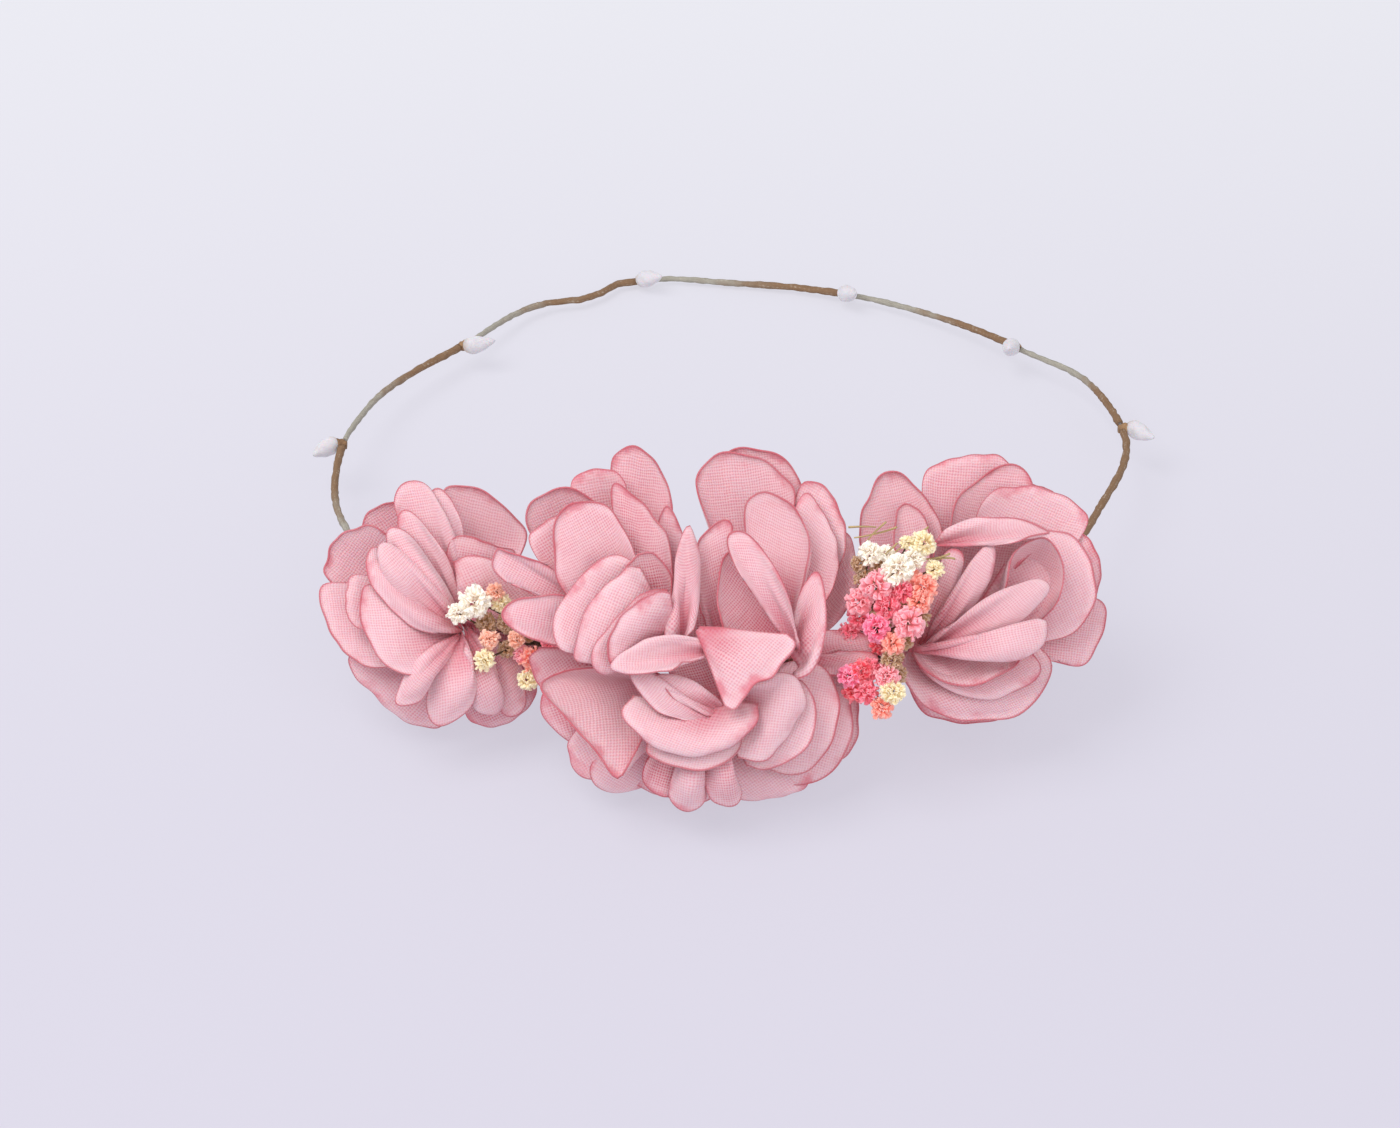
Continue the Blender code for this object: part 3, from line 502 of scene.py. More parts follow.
def join(name, pieces):
    """One object from several, whose own objects go."""
    with bpy.context.temp_override(active_object=pieces[0], selected_editable_objects=pieces):
        bpy.ops.object.join()
    pieces[0].name = name
    return pieces[0]


def finish(piece, nodes, material):
    """Hangs a piece on the frame, hides the CAD nodes that it stands for and gives it its finish."""
    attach(piece, "root")
    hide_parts(*nodes)
    piece.data.materials.append(material)


def thicken(piece, thickness):
    """Gives a sheet its thickness, half to each side."""
    solid = piece.modifiers.new("thickness", "SOLIDIFY")
    solid.thickness = thickness
    solid.offset = 0.0


# ---------------------------------------------------------------- shader writing

class Sock:
    """A shader socket that takes part in sums, so that patterns read as formulas."""

    def __init__(self, tree, socket):
        self.tree, self.socket = tree, socket

    def math(self, operation, *others):
        return self.tree.node("ShaderNodeMath", {"operation": operation}, [self, *others])

    def __add__(self, other):
        return self.math("ADD", other)

    __radd__ = __add__

    def __mul__(self, other):
        return self.math("MULTIPLY", other)

    __rmul__ = __mul__

    def __sub__(self, other):
        return self.math("SUBTRACT", other)

    def __rsub__(self, other):
        return (self * -1.0) + other

    def sine(self):
        return self.math("SINE")

    def step(self, low, high):
        """0 below low and 1 above high, smoothly."""
        inputs = {"Value": self, "From Min": low, "From Max": high}
        return self.tree.node("ShaderNodeMapRange", {"interpolation_type": "SMOOTHSTEP"}, inputs)


class Finish:
    """A material being written: node() adds any node, and surface() ends it."""

    def __init__(self, name):
        self.material = bpy.data.materials.new(name)
        self.material.use_nodes = True
        self.nodes = self.material.node_tree.nodes
        self.links = self.material.node_tree.links
        self.nodes.clear()

    def node(self, kind, settings=None, inputs=None, out=0):
        """Adds a node. Settings go first, then inputs: values or sockets, by name or in order."""
        n = self.nodes.new(kind)
        for key, value in (settings or {}).items():
            setattr(n, key, value)
        pairs = inputs.items() if isinstance(inputs, dict) else enumerate(inputs or [])
        for key, value in pairs:
            if isinstance(value, Sock):
                self.links.new(value.socket, n.inputs[key])
            else:
                n.inputs[key].default_value = value
        return Sock(self, n.outputs[out]) if len(n.outputs) else None

    def place(self):
        """The place in the crown, in metres."""
        return self.node("ShaderNodeTexCoord", out="Object")

    def noise(self, at, scale, detail=2.0, rough=0.5):
        """Cloudy grain from 0 to 1, with scale grains to the metre."""
        inputs = {"Vector": at, "Scale": scale, "Detail": detail, "Roughness": rough}
        return self.node("ShaderNodeTexNoise", None, inputs)

    def stretched(self, at, x, y):
        """Coordinates stretched by two factors, for grain that runs one way."""
        return self.node("ShaderNodeMapping", None, {"Vector": at, "Scale": (x, y, 1.0)})

    def mix(self, a, b, factor):
        """One colour over another, as much as the factor says."""
        inputs = {0: factor, 6: colour(a), 7: colour(b)}
        return self.node("ShaderNodeMix", {"data_type": "RGBA"}, inputs, out=2)

    def field(self, name):
        """One of the named values that a piece carries at its points."""
        return self.node("ShaderNodeAttribute", {"attribute_name": name}, out="Fac")

    def uv(self):
        """A piece's own flat coordinates, in metres: both together, and each alone."""
        at = self.node("ShaderNodeUVMap", {"uv_map": "cloth"})
        split = self.node("ShaderNodeSeparateXYZ", None, [at])
        return at, split, Sock(self, split.socket.node.outputs[1])

    def bump(self, height, distance, strength):
        inputs = {"Height": height, "Distance": distance, "Strength": strength}
        return self.node("ShaderNodeBump", None, inputs)

    def surface(self, **sockets):
        inputs = {k.replace("_", " "): colour(v) for k, v in sockets.items()}
        shader = self.node("ShaderNodeBsdfPrincipled", None, inputs)
        self.node("ShaderNodeOutputMaterial", None, [shader])
        return self.material


def colour(value):
    """A colour with its alpha, where three numbers are given; anything else as it is."""
    return (*value, 1.0) if isinstance(value, tuple) and len(value) == 3 else value


# ---------------------------------------------------------------- finishes

def petal_cloth():
    """Thin plain-woven cloth, dyed unevenly, with a heat-sealed rim line, a painted highlight inside the rim
    and painted shade towards each petal's foot.
    """
    f = Finish("petal_cloth")
    pale, rose, stained = (0.75, 0.385, 0.435), (0.64, 0.165, 0.215), (0.66, 0.15, 0.20)
    thread, painted_rim_highlight = (0.87, 0.67, 0.70), (0.86, 0.61, 0.64)
    painted_base_shade, sealed = (0.55, 0.10, 0.15), (0.54, 0.11, 0.14)
    at, across, along = f.uv()
    turn = TAU / THREAD_PITCH
    slack = f.noise(at, 420.0, 2.0) * 5.0
    warp = (across * turn + slack).sine()
    weft = (along * turn + slack).sine()
    weave = (warp + weft) * 0.25 + 0.5
    thick_weft = f.noise(f.stretched(at, 260.0, 1700.0), 1.0, 2.0)
    thick_warp = f.noise(f.stretched(at, 1700.0, 260.0), 1.0, 2.0)
    slub = thick_weft + thick_warp
    place = f.place()
    wash = f.noise(place, 95.0, 3.0, 0.55)
    stain = f.noise(place, 330.0, 4.0, 0.62)
    patch = f.noise(place, 130.0, 1.0)
    dye, edge = f.field("dye"), f.field("edge")
    near_rim = 1.0 - edge.step(0.0, 5.0 * MM)
    # How deep the rose runs: uneven dyeing and wash, plus painted shade from each petal's deepness value
    # (petals in shaded pockets) and from the heart field towards the foot.
    depth = dye * 0.8 + (wash - 0.5) * 0.9 + f.field("heart") * 0.6 - 0.08
    tone = f.mix(pale, rose, depth.step(0.0, 1.0))
    tone = f.mix(tone, thread, (weave + slub * 0.35).step(0.55, 1.00) * 0.58)
    # Painted highlight: a paler band just inside the rim, where light catches the rolled edge.
    rim_highlight_band = edge.step(0.4 * MM, 0.9 * MM) * (1.0 - edge.step(1.0 * MM, 2.6 * MM))
    tone = f.mix(tone, painted_rim_highlight, rim_highlight_band * 0.38)
    blotch = (near_rim * 0.50 + stain * 0.80).step(0.66, 1.00) * (patch + dye * 0.10).step(0.50, 0.70)
    tone = f.mix(tone, stained, blotch * 0.72)
    # Painted shade: deeper rose towards each petal's foot, where it goes under the petals over it.
    tone = f.mix(tone, painted_base_shade, f.field("heart").step(0.18, 0.85) * 0.58)
    rim = 1.0 - edge.step(0.12 * MM, 0.50 * MM)
    tone = f.mix(tone, sealed, rim * (0.50 + wash * 0.6))
    height = weave * 0.7 + slub * 0.3
    return f.surface(Base_Color=tone, Roughness=0.82 - weave * 0.08, Normal=f.bump(height, 0.14 * MM, 0.7),
                     Sheen_Weight=0.25, Sheen_Roughness=0.5, Specular_IOR_Level=0.25,
                     Subsurface_Weight=0.12, Subsurface_Scale=0.8 * MM)


def stem_paper():
    """Crepe paper round the wire: grey-green after a bud, brown before the next one."""
    f = Finish("stem_paper")
    at, along, around = f.uv()
    grain = f.noise(f.stretched(at, 300.0, 2500.0), 1.0, 3.0)
    twist = (along * (TAU / (1.1 * MM)) + around * (TAU / (5.0 * MM))).sine()
    blotch = f.noise(f.place(), 220.0, 3.0, 0.6)
    aged = (f.field("aged") + (blotch - 0.5) * 0.6).step(0.25, 0.70)
    tone = f.mix((0.36, 0.345, 0.285), (0.24, 0.145, 0.08), aged)
    tone = f.mix(tone, (0.60, 0.55, 0.45), (grain + twist * 0.05).step(0.55, 0.80) * 0.45)
    tone = f.mix(tone, (0.11, 0.065, 0.035), (1.0 - grain).step(0.55, 0.85) * 0.6)
    return f.surface(Base_Color=tone, Roughness=0.72 + blotch * 0.2, Specular_IOR_Level=0.3,
                     Normal=f.bump(grain + twist * 0.15 + blotch, 0.15 * MM, 0.8))


def bud_scales():
    """Dried brown skin with lengthwise cracks."""
    f = Finish("bud_cap")
    place = f.place()
    grain = f.noise(place, 900.0, 4.0, 0.6)
    blotch = f.noise(place, 260.0, 2.0)
    tone = f.mix((0.12, 0.06, 0.03), (0.42, 0.25, 0.12), (grain * 0.6 + blotch * 0.6).step(0.35, 0.85))
    return f.surface(Base_Color=tone, Roughness=0.6 + grain * 0.3,
                     Normal=f.bump(grain + blotch, 0.2 * MM, 0.8))


def flocked_bud():
    """White flock, a little greyer in its hollows and brown at the foot."""
    f = Finish("flocked_bud")
    place = f.place()
    fluff = f.noise(place, 2600.0, 3.0, 0.7)
    cloud = f.noise(place, 420.0, 2.0)
    tone = f.mix((0.56, 0.55, 0.57), (0.68, 0.67, 0.70), (fluff * 0.5 + cloud * 0.6).step(0.30, 0.62))
    tone = f.mix(tone, (0.42, 0.34, 0.24), (1.0 - f.field("height")).step(0.70, 1.0) * 0.7)
    return f.surface(Base_Color=tone, Roughness=0.9 + fluff * 0.05,
                     Normal=f.bump(fluff + cloud, 0.12 * MM, 0.5),
                     Sheen_Weight=0.4, Subsurface_Weight=0.15, Subsurface_Scale=0.8 * MM)


def floral_tape():
    """Brown stretch tape in slanting turns."""
    f = Finish("floral_tape")
    at, along, around = f.uv()
    turns = (along * (TAU / (4.0 * MM)) + around * (TAU / (9.0 * MM))).sine()
    crepe = f.noise(f.stretched(at, 3000.0, 600.0), 1.0, 3.0)
    tone = f.mix((0.10, 0.055, 0.03), (0.26, 0.16, 0.09), (crepe + turns * 0.2).step(0.3, 0.75))
    return f.surface(Base_Color=tone, Roughness=0.55 + crepe * 0.25,
                     Normal=f.bump(crepe + turns * 0.4, 0.2 * MM, 0.9))


def hot_glue():
    """Set glue, milky amber with small bubbles."""
    f = Finish("hot_glue")
    cloud = f.noise(f.place(), 500.0, 3.0)
    tone = f.mix((0.62, 0.52, 0.36), (0.84, 0.78, 0.64), cloud.step(0.3, 0.7))
    return f.surface(Base_Color=tone, Roughness=0.22 + cloud * 0.15, Normal=f.bump(cloud, 0.25 * MM, 0.5),
                     Subsurface_Weight=0.4, Subsurface_Scale=2.0 * MM)


def felt():
    """Off-white wool felt with a loose fibre grain."""
    f = Finish("felt")
    place = f.place()
    fibre = f.noise(place, 1800.0, 5.0, 0.75)
    patch = f.noise(place, 300.0, 2.0)
    tone = f.mix((0.56, 0.50, 0.47), (0.84, 0.79, 0.76), (fibre * 0.7 + patch * 0.4).step(0.35, 0.75))
    return f.surface(Base_Color=tone, Roughness=0.93 + fibre * 0.05, Normal=f.bump(fibre, 0.3 * MM, 0.9),
                     Sheen_Weight=0.5)


def wire():
    """Dull drawn steel with a rust-brown bloom."""
    f = Finish("wire")
    rust = f.noise(f.place(), 350.0, 3.0)
    bloom = rust.step(0.45, 0.75)
    tone = f.mix((0.42, 0.41, 0.40), (0.24, 0.15, 0.09), bloom)
    return f.surface(Base_Color=tone, Metallic=1.0 - bloom * 0.7, Roughness=0.35 + rust * 0.3)


def dried(name, tint):
    """Papery dried petals of one tint, bleached at their tips and dark in the middle, with a faint painted
    glow.
    """
    f = Finish(name)
    fleck = f.noise(f.place(), 900.0, 3.0, 0.6)
    tip = f.field("tip")
    pale = tuple(0.7 * c + 0.28 for c in tint)
    deep = tuple(c * share for c, share in zip(tint, (0.97, 0.88, 0.80)))
    tone = f.mix(deep, tint, (tip + (fleck - 0.5) * 0.4).step(0.05, 0.45))
    tone = f.mix(tone, pale, (tip + (fleck - 0.5) * 0.8).step(0.70, 1.10) * 0.75)
    # Painted light: a faint glow in the petals' own tone stands in for light coming through them.
    return f.surface(Base_Color=tone, Roughness=0.75 + fleck * 0.15, Normal=f.bump(fleck, 0.1 * MM, 0.6),
                     Emission_Color=tone, Emission_Strength=0.10)


def dry_stalk(name, tint):
    """A dry stalk of one tint, with fibres along it."""
    f = Finish(name)
    at, _, _ = f.uv()
    fibre = f.noise(f.stretched(at, 200.0, 6000.0), 1.0, 2.0)
    dark, light = tuple(0.5 * c for c in tint), tuple(1.25 * c for c in tint)
    return f.surface(Base_Color=f.mix(dark, light, fibre.step(0.3, 0.7)), Roughness=0.6 + fibre * 0.2)


def table_top():
    """Plain pale table with the faintest unevenness and a painted glow of its own, lighter and cooler towards
    the back.
    """
    f = Finish("table_top")
    cloud = f.noise(f.place(), 3.0, 2.0)
    tone = f.mix((0.17, 0.17, 0.19), (0.19, 0.19, 0.21), cloud)
    depth = f.node("ShaderNodeSeparateXYZ", None, [f.place()], out=1)
    # Painted light: the table glows by itself, brighter and cooler towards the back; the glow lifts the shade
    # under the crown and lights the petals from below.
    painted_table_glow = f.mix((0.785, 0.75, 0.875), (1.03, 1.04, 1.08), depth.step(-0.20, 0.40))
    return f.surface(Base_Color=tone, Roughness=0.75, Specular_IOR_Level=0.2,
                     Emission_Color=painted_table_glow, Emission_Strength=0.64)


# ---------------------------------------------------------------- places read from the frame

def vertices(node):
    """A CAD node's points, one row each."""
    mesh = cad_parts[node].data
    co = np.empty(len(mesh.vertices) * 3)
    mesh.vertices.foreach_get("co", co)
    return co.reshape(-1, 3)


def middle(node):
    """The middle of a CAD node's box."""
    low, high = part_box(node)
    return np.array((low + high) / 2)


def centroid(node):
    """The mean of a CAD node's points."""
    return vertices(node).mean(0)


def main_axes(node):
    """A CAD node's own directions, the longest first."""
    return np.linalg.svd(vertices(node) - centroid(node))[2]


def measure(node, axis):
    """Along an axis through a CAD node: where it starts and ends, and how far it reaches from it."""
    away = vertices(node) - centroid(node)
    t = away @ axis
    reach = np.linalg.norm(away - t[:, None] * axis, axis=1).max()
    return t.min(), t.max(), reach


def seen_from(flower, place):
    """A place in the crown from one given in a flower's own directions, in millimetres."""
    heart = np.array(FLOWERS[flower][0], float)
    return middle(f"{flower}.boss") + (np.asarray(place, float) + heart) * MM @ FACE


RING_MIDDLE = middle("core_wire")

# The wire's line is taken at stations, from the points that lie near each of them, in degrees.
STATION = 4.0
STATION_REACH = 3.0


def from_bearing(at, centre):
    """How far a bearing is from another, from -180 to 180 degrees."""
    return (at - centre + 180.0) % 360.0 - 180.0


def bearing(points):
    """The angle of points round the ring, in degrees from its right side."""
    away = points - RING_MIDDLE
    return np.degrees(np.arctan2(away[:, 1], away[:, 0])) % 360.0


def ring_line(start, end, count):
    """Points of the wire's centre line between two bearings, by way of the stations."""
    co = vertices("core_wire")
    at = bearing(co)
    stations = np.arange(0.0, 360.0, STATION)
    line = np.array([co[np.abs(from_bearing(at, s)) < STATION_REACH].mean(0) for s in stations])
    wanted = np.linspace(start, end, count)
    return np.stack([np.interp(wanted, stations, line[:, i], period=360.0) for i in range(3)], -1)


def span(node):
    """The bearings where a node that lies along the ring starts and ends."""
    reference = bearing(middle(node)[None])[0]
    turn = from_bearing(bearing(vertices(node)), reference)
    return reference + turn.min(), reference + turn.max()


# ---------------------------------------------------------------- petals

def petal_shape(cut, rng):
    """A petal's points and its flat pattern, in millimetres: rays from its foot to its rim.

    Each ray is a parabola that swells by the belly half-way. Added to it along the cloth's normal
    are pleats near the foot, a ruffle towards the rim and dents between; the rim itself is ragged
    and rolls over. In the pattern a ray's length and the share of the rim it has passed give the
    place.
    """
    glued = np.array(cut.base, float)
    rim = smooth_line(cut.rim, PETAL_COLUMNS)
    run = np.linalg.norm(np.diff(rim, axis=0), axis=1).sum()
    ends = np.linspace(0, 1, PETAL_COLUMNS)
    corner = np.exp(-((ends / CORNER) ** 2)) + np.exp(-(((1 - ends) / CORNER) ** 2))
    rim = rim + (glued - rim) * DRAWN_IN * corner[:, None]
    foot = glued + (rim - rim.mean(0)) * FOOT
    wide_rows = np.linspace(0, RIM_FROM, PETAL_ROWS - RIM_ROWS)
    close_rows = np.linspace(RIM_FROM, 1.0, RIM_ROWS + 1)[1:]
    v = np.concatenate([wide_rows, close_rows])[:, None]
    u = np.linspace(0, 1, PETAL_COLUMNS)[None, :]
    v3 = v[..., None]
    side = np.sin(np.pi * u) ** 0.8
    swell = BELLY * np.array(cut.belly, float) * (0.20 + 0.80 * side)[..., None]
    knee = (foot + rim)[None] / 2 + swell
    p = (1 - v3) ** 2 * foot + 2 * v3 * (1 - v3) * knee + v3**2 * rim
    n = grid_normals(p)
    size = min(1.0, run / FULL_RIM)
    folds = TAU * rng.integers(2, 4) * u + waves(rng, u, v) + rng.uniform(0, TAU)
    pleats = PLEATS * size * v * (1 - v) ** 2 * np.sin(folds)
    ruffle = RUFFLE * size * v**3 * waves(rng, u, v * 0.3, 4, 1.6)
    dents = DENTS * size * np.sin(np.pi * v) * waves(rng, u, v, 5, 1.1)
    p = p + n * (pleats + ruffle + dents)[..., None]
    n = grid_normals(p)
    outward = unit(np.gradient(p, axis=0))
    p = p + outward * (RAGGED * size * v**6 * waves(rng, 3 * u, 0 * u, 4, 2.0))[..., None]
    ray = np.linalg.norm(rim - foot, axis=1)[None, :]
    lip = np.clip(1 - (1 - v) * ray / LIP, 0, 1) * (0.4 + 0.6 * side)
    toward = rng.choice([-0.8, 1.0], p=[0.4, 0.6]) * (0.8 + 0.2 * waves(rng, u, 0 * u, 3, 1.5))
    rise, back = LIP_RISE * size * lip**2 * toward, LIP_BACK * size * lip**3
    p = p + n * rise[..., None] - outward * back[..., None]
    turn = (u - 0.5) * run / ray.mean()
    flat = np.stack([v * ray * np.sin(turn), v * ray * np.cos(turn)], -1)
    steps = np.linalg.norm(np.diff(p, axis=0), axis=-1)
    to_rim = np.vstack([np.cumsum(steps[::-1], axis=0)[::-1], np.zeros((1, PETAL_COLUMNS))])
    to_side = np.minimum(u, 1 - u) * run * np.maximum(v, 0.05)
    fields = {
        "edge": np.minimum(to_rim, to_side) * MM,
        # heart: 1 at the foot to 0 at the rim; the cloth paints shade with it towards the foot.
        "heart": np.broadcast_to((1 - v) ** 1.5, to_rim.shape),
        "dye": np.full(to_rim.shape, cut.dye),
    }
    return p, flat, fields


def make_petal(name, flower, cut, cloth, rng):
    """One petal, glued in at its foot and kept clear of the table, with its flat pattern as its cloth map;
    the size of its flat cut is worked out but not kept.
    """
    p, flat, fields = petal_shape(cut, rng)
    flat = flat * MM
    world = seen_from(flower, p)
    world[..., 2] = np.maximum(world[..., 2], CLEARANCE)
    piece = skin(name, world, flat, fields)
    thicken(piece, CLOTH_THICKNESS)
    finish(piece, [f"{flower}.{cut.layer}_petals"], cloth)
    a, b = np.diff(world, axis=0)[:, :-1], np.diff(world, axis=1)[:-1]
    area = float(np.linalg.norm(np.cross(a, b), axis=-1).sum())
    width, length = (max(math.ceil(d / MM) / 1000, SHEET_LEAST) for d in np.ptp(flat, axis=(0, 1)))
    area = min(max(area, SHEET_SHARE * width * length), width * length)


def make_flowers():
    """The petals of the five flowers, and each one's glue boss and felt pad."""
    cloth, glue, wool = petal_cloth(), hot_glue(), felt()
    for order, (flower, (_, petals)) in enumerate(FLOWERS.items()):
        for number, cut in enumerate(petals, 1):
            rng = np.random.default_rng(1000 * order + number)
            make_petal(f"{flower}.petal_{number:02d}", flower, cut, cloth, rng)
        make_boss(flower, glue)
        make_pad(flower, wool)


# ---------------------------------------------------------------- turned pieces

def turned_shape(name, foot, head, radii, sides, unevenness, rng):
    """A turned piece: radii, in metres, at even steps from foot to head, with lumps."""
    steps = len(radii)
    path = foot + np.linspace(0, 1, steps)[:, None] * (head - foot)
    u = np.linspace(0, 1, sides, endpoint=False)[None, :]
    v = np.linspace(0, 1, steps)[:, None]
    round_lumps = np.sin(TAU * (2 * u + v + rng.uniform()))
    long_lumps = np.sin(TAU * (u + 2 * v + rng.uniform()))
    uneven = 1 + unevenness * round_lumps * long_lumps
    return tube(name, path, radii[:, None] * uneven, sides, {"height": np.broadcast_to(v, (steps, sides))})


def make_boss(flower, glue):
    """The glue that holds a flower on the ring: a neck that spreads to a lumpy dome."""
    node = f"{flower}.boss"
    centre = centroid(node)
    axis = unit(centre - middle(f"{flower}.felt_pad"))
    low, high, reach = measure(node, axis)
    v = np.linspace(0, 1, 18)
    radii = reach * (0.45 + 0.55 * np.sin(np.pi * np.clip(v * 1.15 - 0.1, 0, 1)) ** 0.8)
    radii = radii * np.sqrt(np.clip(1 - ((v - 0.5) * 2) ** 8, 0.05, 1))
    foot, head = centre + axis * low, centre + axis * high
    piece = turned_shape(f"{node}_glue", foot, head, radii, 28, 0.07, np.random.default_rng(7))
    finish(piece, [node], glue)


def make_pad(flower, wool):
    """The felt disc glued on the inside: a flat cushion-edged disc."""
    node = f"{flower}.felt_pad"
    centre, axis = centroid(node), main_axes(node)[2]
    low, high, reach = measure(node, axis)
    v = np.linspace(-1, 1, 12)
    radii = reach * (0.90 + 0.10 * np.sqrt(np.clip(1 - v**4, 0, 1)))
    foot, head = centre + axis * low, centre + axis * high
    piece = turned_shape(f"{node}_felt", foot, head, radii, 48, 0.02, np.random.default_rng(3))
    finish(piece, [node], wool)
    across = round(2 * reach, 4)
    area = math.pi * reach**2


def make_buds():
    """White flocked buds like drops, each in a brown cap of scales with a knot at its foot."""
    white, brown = flocked_bud(), bud_scales()
    for number in range(1, 7):
        bud, cap = f"bud_{number}", f"bud_cap_{number}"
        rng = np.random.default_rng(70 + number)
        centre, knot, axis = centroid(bud), middle(cap), main_axes(bud)[0]
        axis = axis * np.sign((centre - knot) @ axis)
        low, high, reach = measure(bud, axis)
        foot, tip = centre + axis * low, centre + axis * high
        v = np.linspace(0, 1, 26)
        radii = reach * 1.1 * np.clip(np.sin(np.pi * v**0.62), 0, 1) ** 0.7
        piece = turned_shape(f"{bud}_flock", foot - axis * BUD_SEAT, tip, radii, 28, 0.07, rng)
        finish(piece, [bud], white)
        toward = unit(foot - knot)
        length = np.linalg.norm(foot - knot) + KNOT_REACH
        radii = KNOT_RADIUS * (0.80 + 0.35 * np.sin(np.pi * v) + 0.12 * v)
        foot, head = knot - toward * KNOT_REACH, knot + toward * length
        piece = turned_shape(f"{cap}_scales", foot, head, radii, 24, 0.16, rng)
        finish(piece, [cap], brown)


# ---------------------------------------------------------------- stem and tape

def make_vine():
    """The paper-wrapped stems: tubes on the ring's line that swell and brown towards the next bud.

    The tail that goes into the right-hand flower is brown all along.
    """
    paper = stem_paper()
    sides = 16
    for number, node in enumerate(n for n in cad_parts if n.startswith("stem_")):
        start, end = span(node)
        count = int((end - start) * STEM_RINGS)
        path = ring_line(start - STEM_OVERLAP, end + STEM_OVERLAP, count)
        rng = np.random.default_rng(40 + number)
        v = np.linspace(0, 1, count)[:, None]
        u = np.linspace(0, 1, sides, endpoint=False)[None, :]
        aged = np.maximum(1 - v, 0.8 * (node == "stem_right_tail"))
        thick = VINE_RADIUS * (0.78 + 0.32 * aged + 0.06 * waves(rng, v * 6, 0 * v, 6, 2.0))
        creases = 1 + 0.07 * np.sin(TAU * (3 * u + v * 14)) + 0.05 * waves(rng, u * 2, v * 12, 5, 2.0)
        fields = {"aged": np.broadcast_to(aged, (count, sides))}
        piece = tube(f"{node}_paper", path, thick * creases, sides, fields)
        finish(piece, [node], paper)


def make_wraps():
    """Tape round the flower end of the ring and its two bindings, in overlapping turns."""
    tape = floral_tape()
    sides = 20
    for node, turn_length, radius in WRAPS:
        start, end = span(node)
        count = int((end - start) * TAPE_RINGS) + 12
        path = ring_line(start, end, count)
        length = np.linalg.norm(np.diff(path, axis=0), axis=1).sum() / MM
        run = np.linspace(0, 1, count)[:, None] * length
        u = np.linspace(0, 1, sides, endpoint=False)[None, :]
        step = (run / turn_length + u) % 1.0
        taper = np.sqrt(np.clip(1 - np.abs(np.linspace(-1, 1, count))[:, None] ** 14, 0.15, 1))
        piece = tube(f"{node}_tape", path, (radius + TAPE_STEP * step) * taper * MM, sides)
        finish(piece, [node], tape)


def finish_wire():
    """The ring's wire keeps its own mesh and gets its finish."""
    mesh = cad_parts["core_wire"].data
    mesh.materials.clear()
    mesh.materials.append(wire())


# ---------------------------------------------------------------- gypsophila

def floret(name, centre, radius, rng):
    """A dried flower head: small petals that stand out of a ball, spread by the golden angle.

    Each is a fan from the ball's heart that widens to its tip, rounds off at its corners, waves
    across and curls to one side.
    """
    grid, each = (4, 4), (FLORET_PETALS, 1, 1, 1)
    k = np.arange(FLORET_PETALS) + 0.5
    polar, around = np.arccos(1 - 2 * k / FLORET_PETALS), np.pi * (1 + 5**0.5) * k
    stem = np.stack([np.cos(around) * np.sin(polar), np.sin(around) * np.sin(polar), np.cos(polar)], -1)
    stem = unit(stem + rng.normal(0, 0.12, stem.shape))
    side = unit(np.cross(stem, rng.normal(0, 1, stem.shape)))
    over = np.cross(stem, side)
    v = np.linspace(0, 1, grid[0])[None, :, None, None]
    u = np.linspace(-1, 1, grid[1])[None, None, :, None]
    length = radius * rng.uniform(0.72, 1.12, each)
    width = radius * (0.05 + 0.17 * v) * rng.uniform(0.8, 1.2, each)
    wave = 0.12 * radius * v * np.sin(4.0 * u + rng.uniform(0, TAU, each))
    curl = radius * 0.22 * v**2 * rng.uniform(-1, 1, each)
    heart = FLORET_HEART * radius
    p = stem[:, None, None] * (heart + (length - heart) * v - 0.12 * radius * v * u**2)
    p = p + side[:, None, None] * width * u + over[:, None, None] * (wave + curl)
    tip = {"tip": np.broadcast_to(v[0, :, :, 0], grid)}
    return join(name, [skin(f"{name}_{i}", centre + petal, fields=tip) for i, petal in enumerate(p)])


def stalk(name, start, end, thickness, sag, rng):
    """A dry stalk: a thin tube from start to end that bows sideways by sag."""
    t = np.linspace(0, 1, 14)[:, None]
    bow = unit(np.cross(end - start, rng.normal(0, 1, 3))) * sag
    path = start + (end - start) * t + 4 * t * (1 - t) * bow + 0.08 * sag * np.sin(9 * t) * RIGHT
    return tube(name, path, thickness * (1 - 0.35 * t[:, 0]), 6)


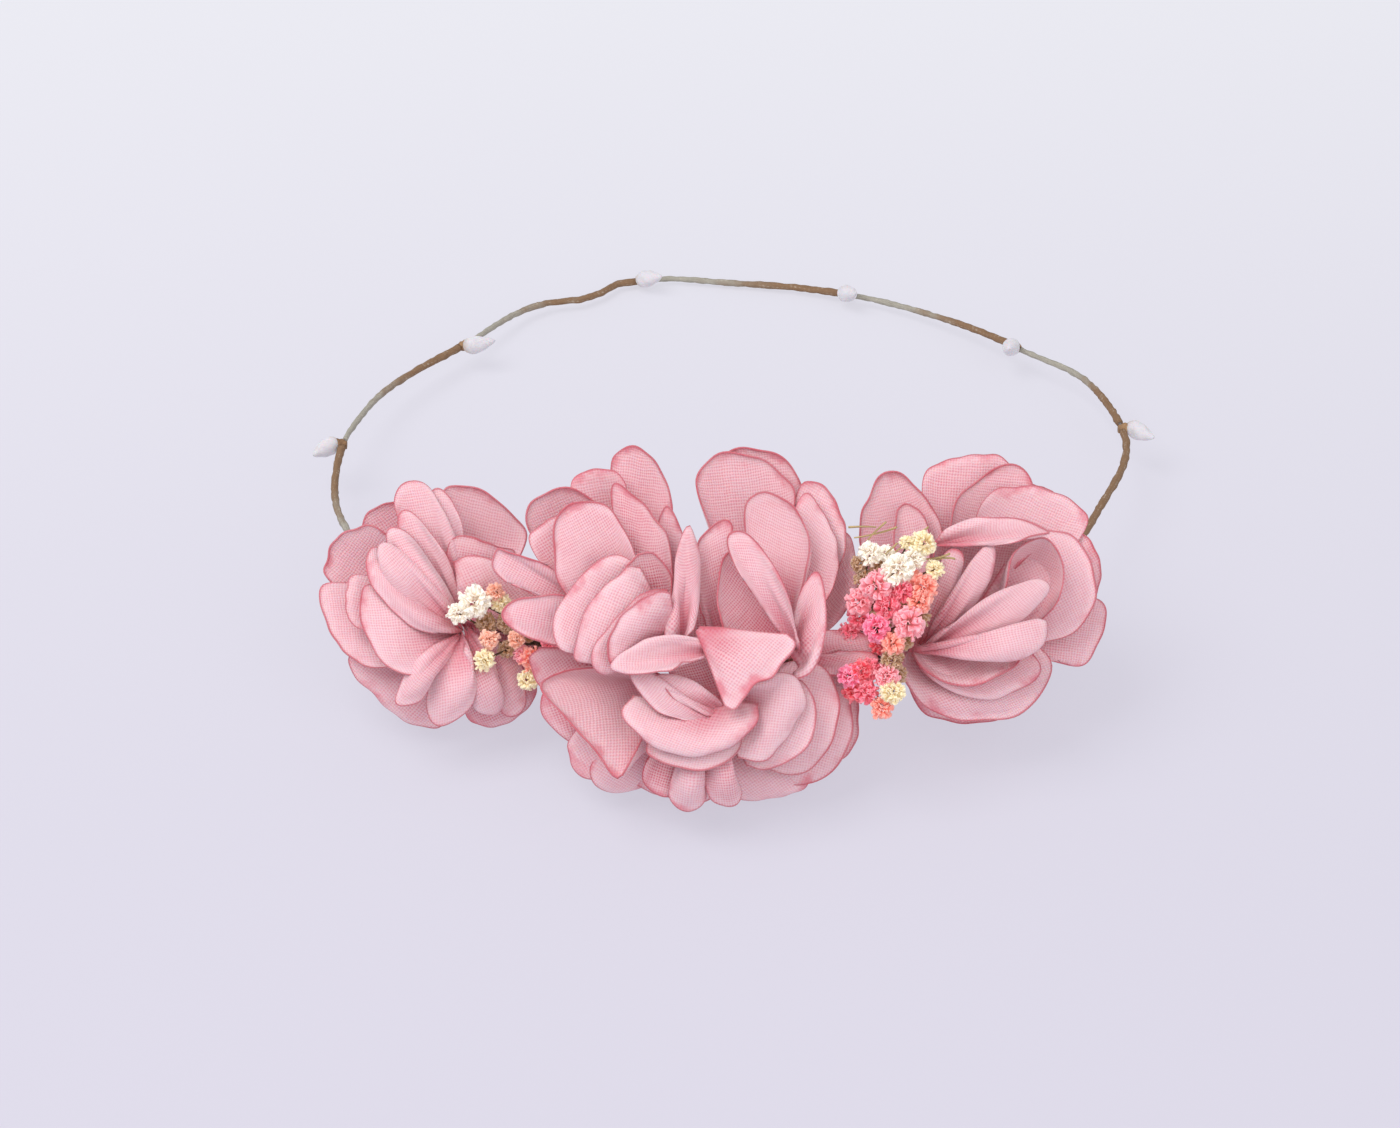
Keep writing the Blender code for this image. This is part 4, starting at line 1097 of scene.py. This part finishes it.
def make_sprigs():
    """Gypsophila: ball-shaped florets on stalks that fan out of one root, sprig by sprig."""
    finishes = {tint: dried(f"dried_{i}", tint) for i, tint in enumerate(DYES)}
    straw, dark = dry_stalk("straw", STRAW), dry_stalk("dark_stalk", DARK_STALK)
    for number, (node, (flower, root, florets)) in enumerate(SPRIGS.items()):
        rng = np.random.default_rng(500 + number)
        foot = seen_from(flower, root)
        stalks = []
        for i, head in enumerate(florets, 1):
            centre = seen_from(flower, head.place)
            piece = floret(f"{node}.floret_{i}", centre, FLORET_RADIUS * head.size * MM, rng)
            thicken(piece, FLORET_THICKNESS)
            finish(piece, [node], finishes[head.colour])
            stalks.append(stalk(f"{node}.stalk_{i}", foot, centre, STALK_RADIUS, 1.2 * MM, rng))
        finish(join(f"{node}.stalks", stalks), [node], dark)
    rng = np.random.default_rng(600)
    straws = []
    for i, (a, b) in enumerate(STRAWS):
        start, end = seen_from("flower_upper_right", a), seen_from("flower_upper_right", b)
        straws.append(stalk(f"straw_{i}", start, end, STRAW_RADIUS, 0.6 * MM, rng))
    finish(join("sprig_right_white.straws", straws), ["sprig_right_white"], straw)


# ---------------------------------------------------------------- table, light and eye

def set_camera():
    """The eye in front of the crown."""
    data = bpy.data.cameras.new("eye")
    data.lens = LENS
    data.sensor_width = SENSOR
    data.clip_start = 0.01
    eye = bpy.data.objects.new("eye", data)
    eye.location = EYE_TARGET + EYE_DISTANCE * OUT
    eye.rotation_euler = (math.pi / 2 - LOOK_DOWN, 0.0, 0.0)
    bpy.context.scene.collection.objects.link(eye)
    bpy.context.scene.camera = eye


def set_table():
    """A plain table top under the crown."""
    half = 3.0
    corners = np.array([[[-half, -half, 0], [half, -half, 0]], [[-half, half, 0], [half, half, 0]]])
    floor = skin("table_top", corners)
    floor.data.materials.append(table_top())


def add_lamp(name, place, aim, size, power, tint):
    """A square soft lamp that faces its aim."""
    data = bpy.data.lights.new(name, "AREA")
    data.size = size
    data.energy = power
    data.color = tint
    lamp = bpy.data.objects.new(name, data)
    lamp.location = place
    toward = unit(np.array(aim, float) - np.array(place, float))
    yaw = math.atan2(toward[1], toward[0])
    pitch = math.asin(toward[2])
    lamp.rotation_euler = (math.pi / 2 + pitch, 0.0, yaw - math.pi / 2)
    bpy.context.scene.collection.objects.link(lamp)


def set_light():
    """Window light from the upper left, a weaker fill from the front, and a pale room."""
    world = bpy.data.worlds.new("room")
    world.use_nodes = True
    background = world.node_tree.nodes["Background"]
    background.inputs["Color"].default_value = (0.94, 0.93, 1.0, 1.0)
    background.inputs["Strength"].default_value = 0.62
    bpy.context.scene.world = world
    add_lamp("window", (-0.42, -0.22, 0.82), (0, -0.02, 0), 0.6, 5.2, (1.0, 0.98, 0.97))
    add_lamp("fill", (0.35, -0.75, 0.6), (0, -0.04, 0.02), 0.9, 3.2, (1.0, 0.97, 0.96))
    bpy.context.scene.view_settings.view_transform = "Standard"


set_camera()
set_table()
set_light()
make_vine()
make_wraps()
make_buds()
make_flowers()
make_sprigs()
finish_wire()
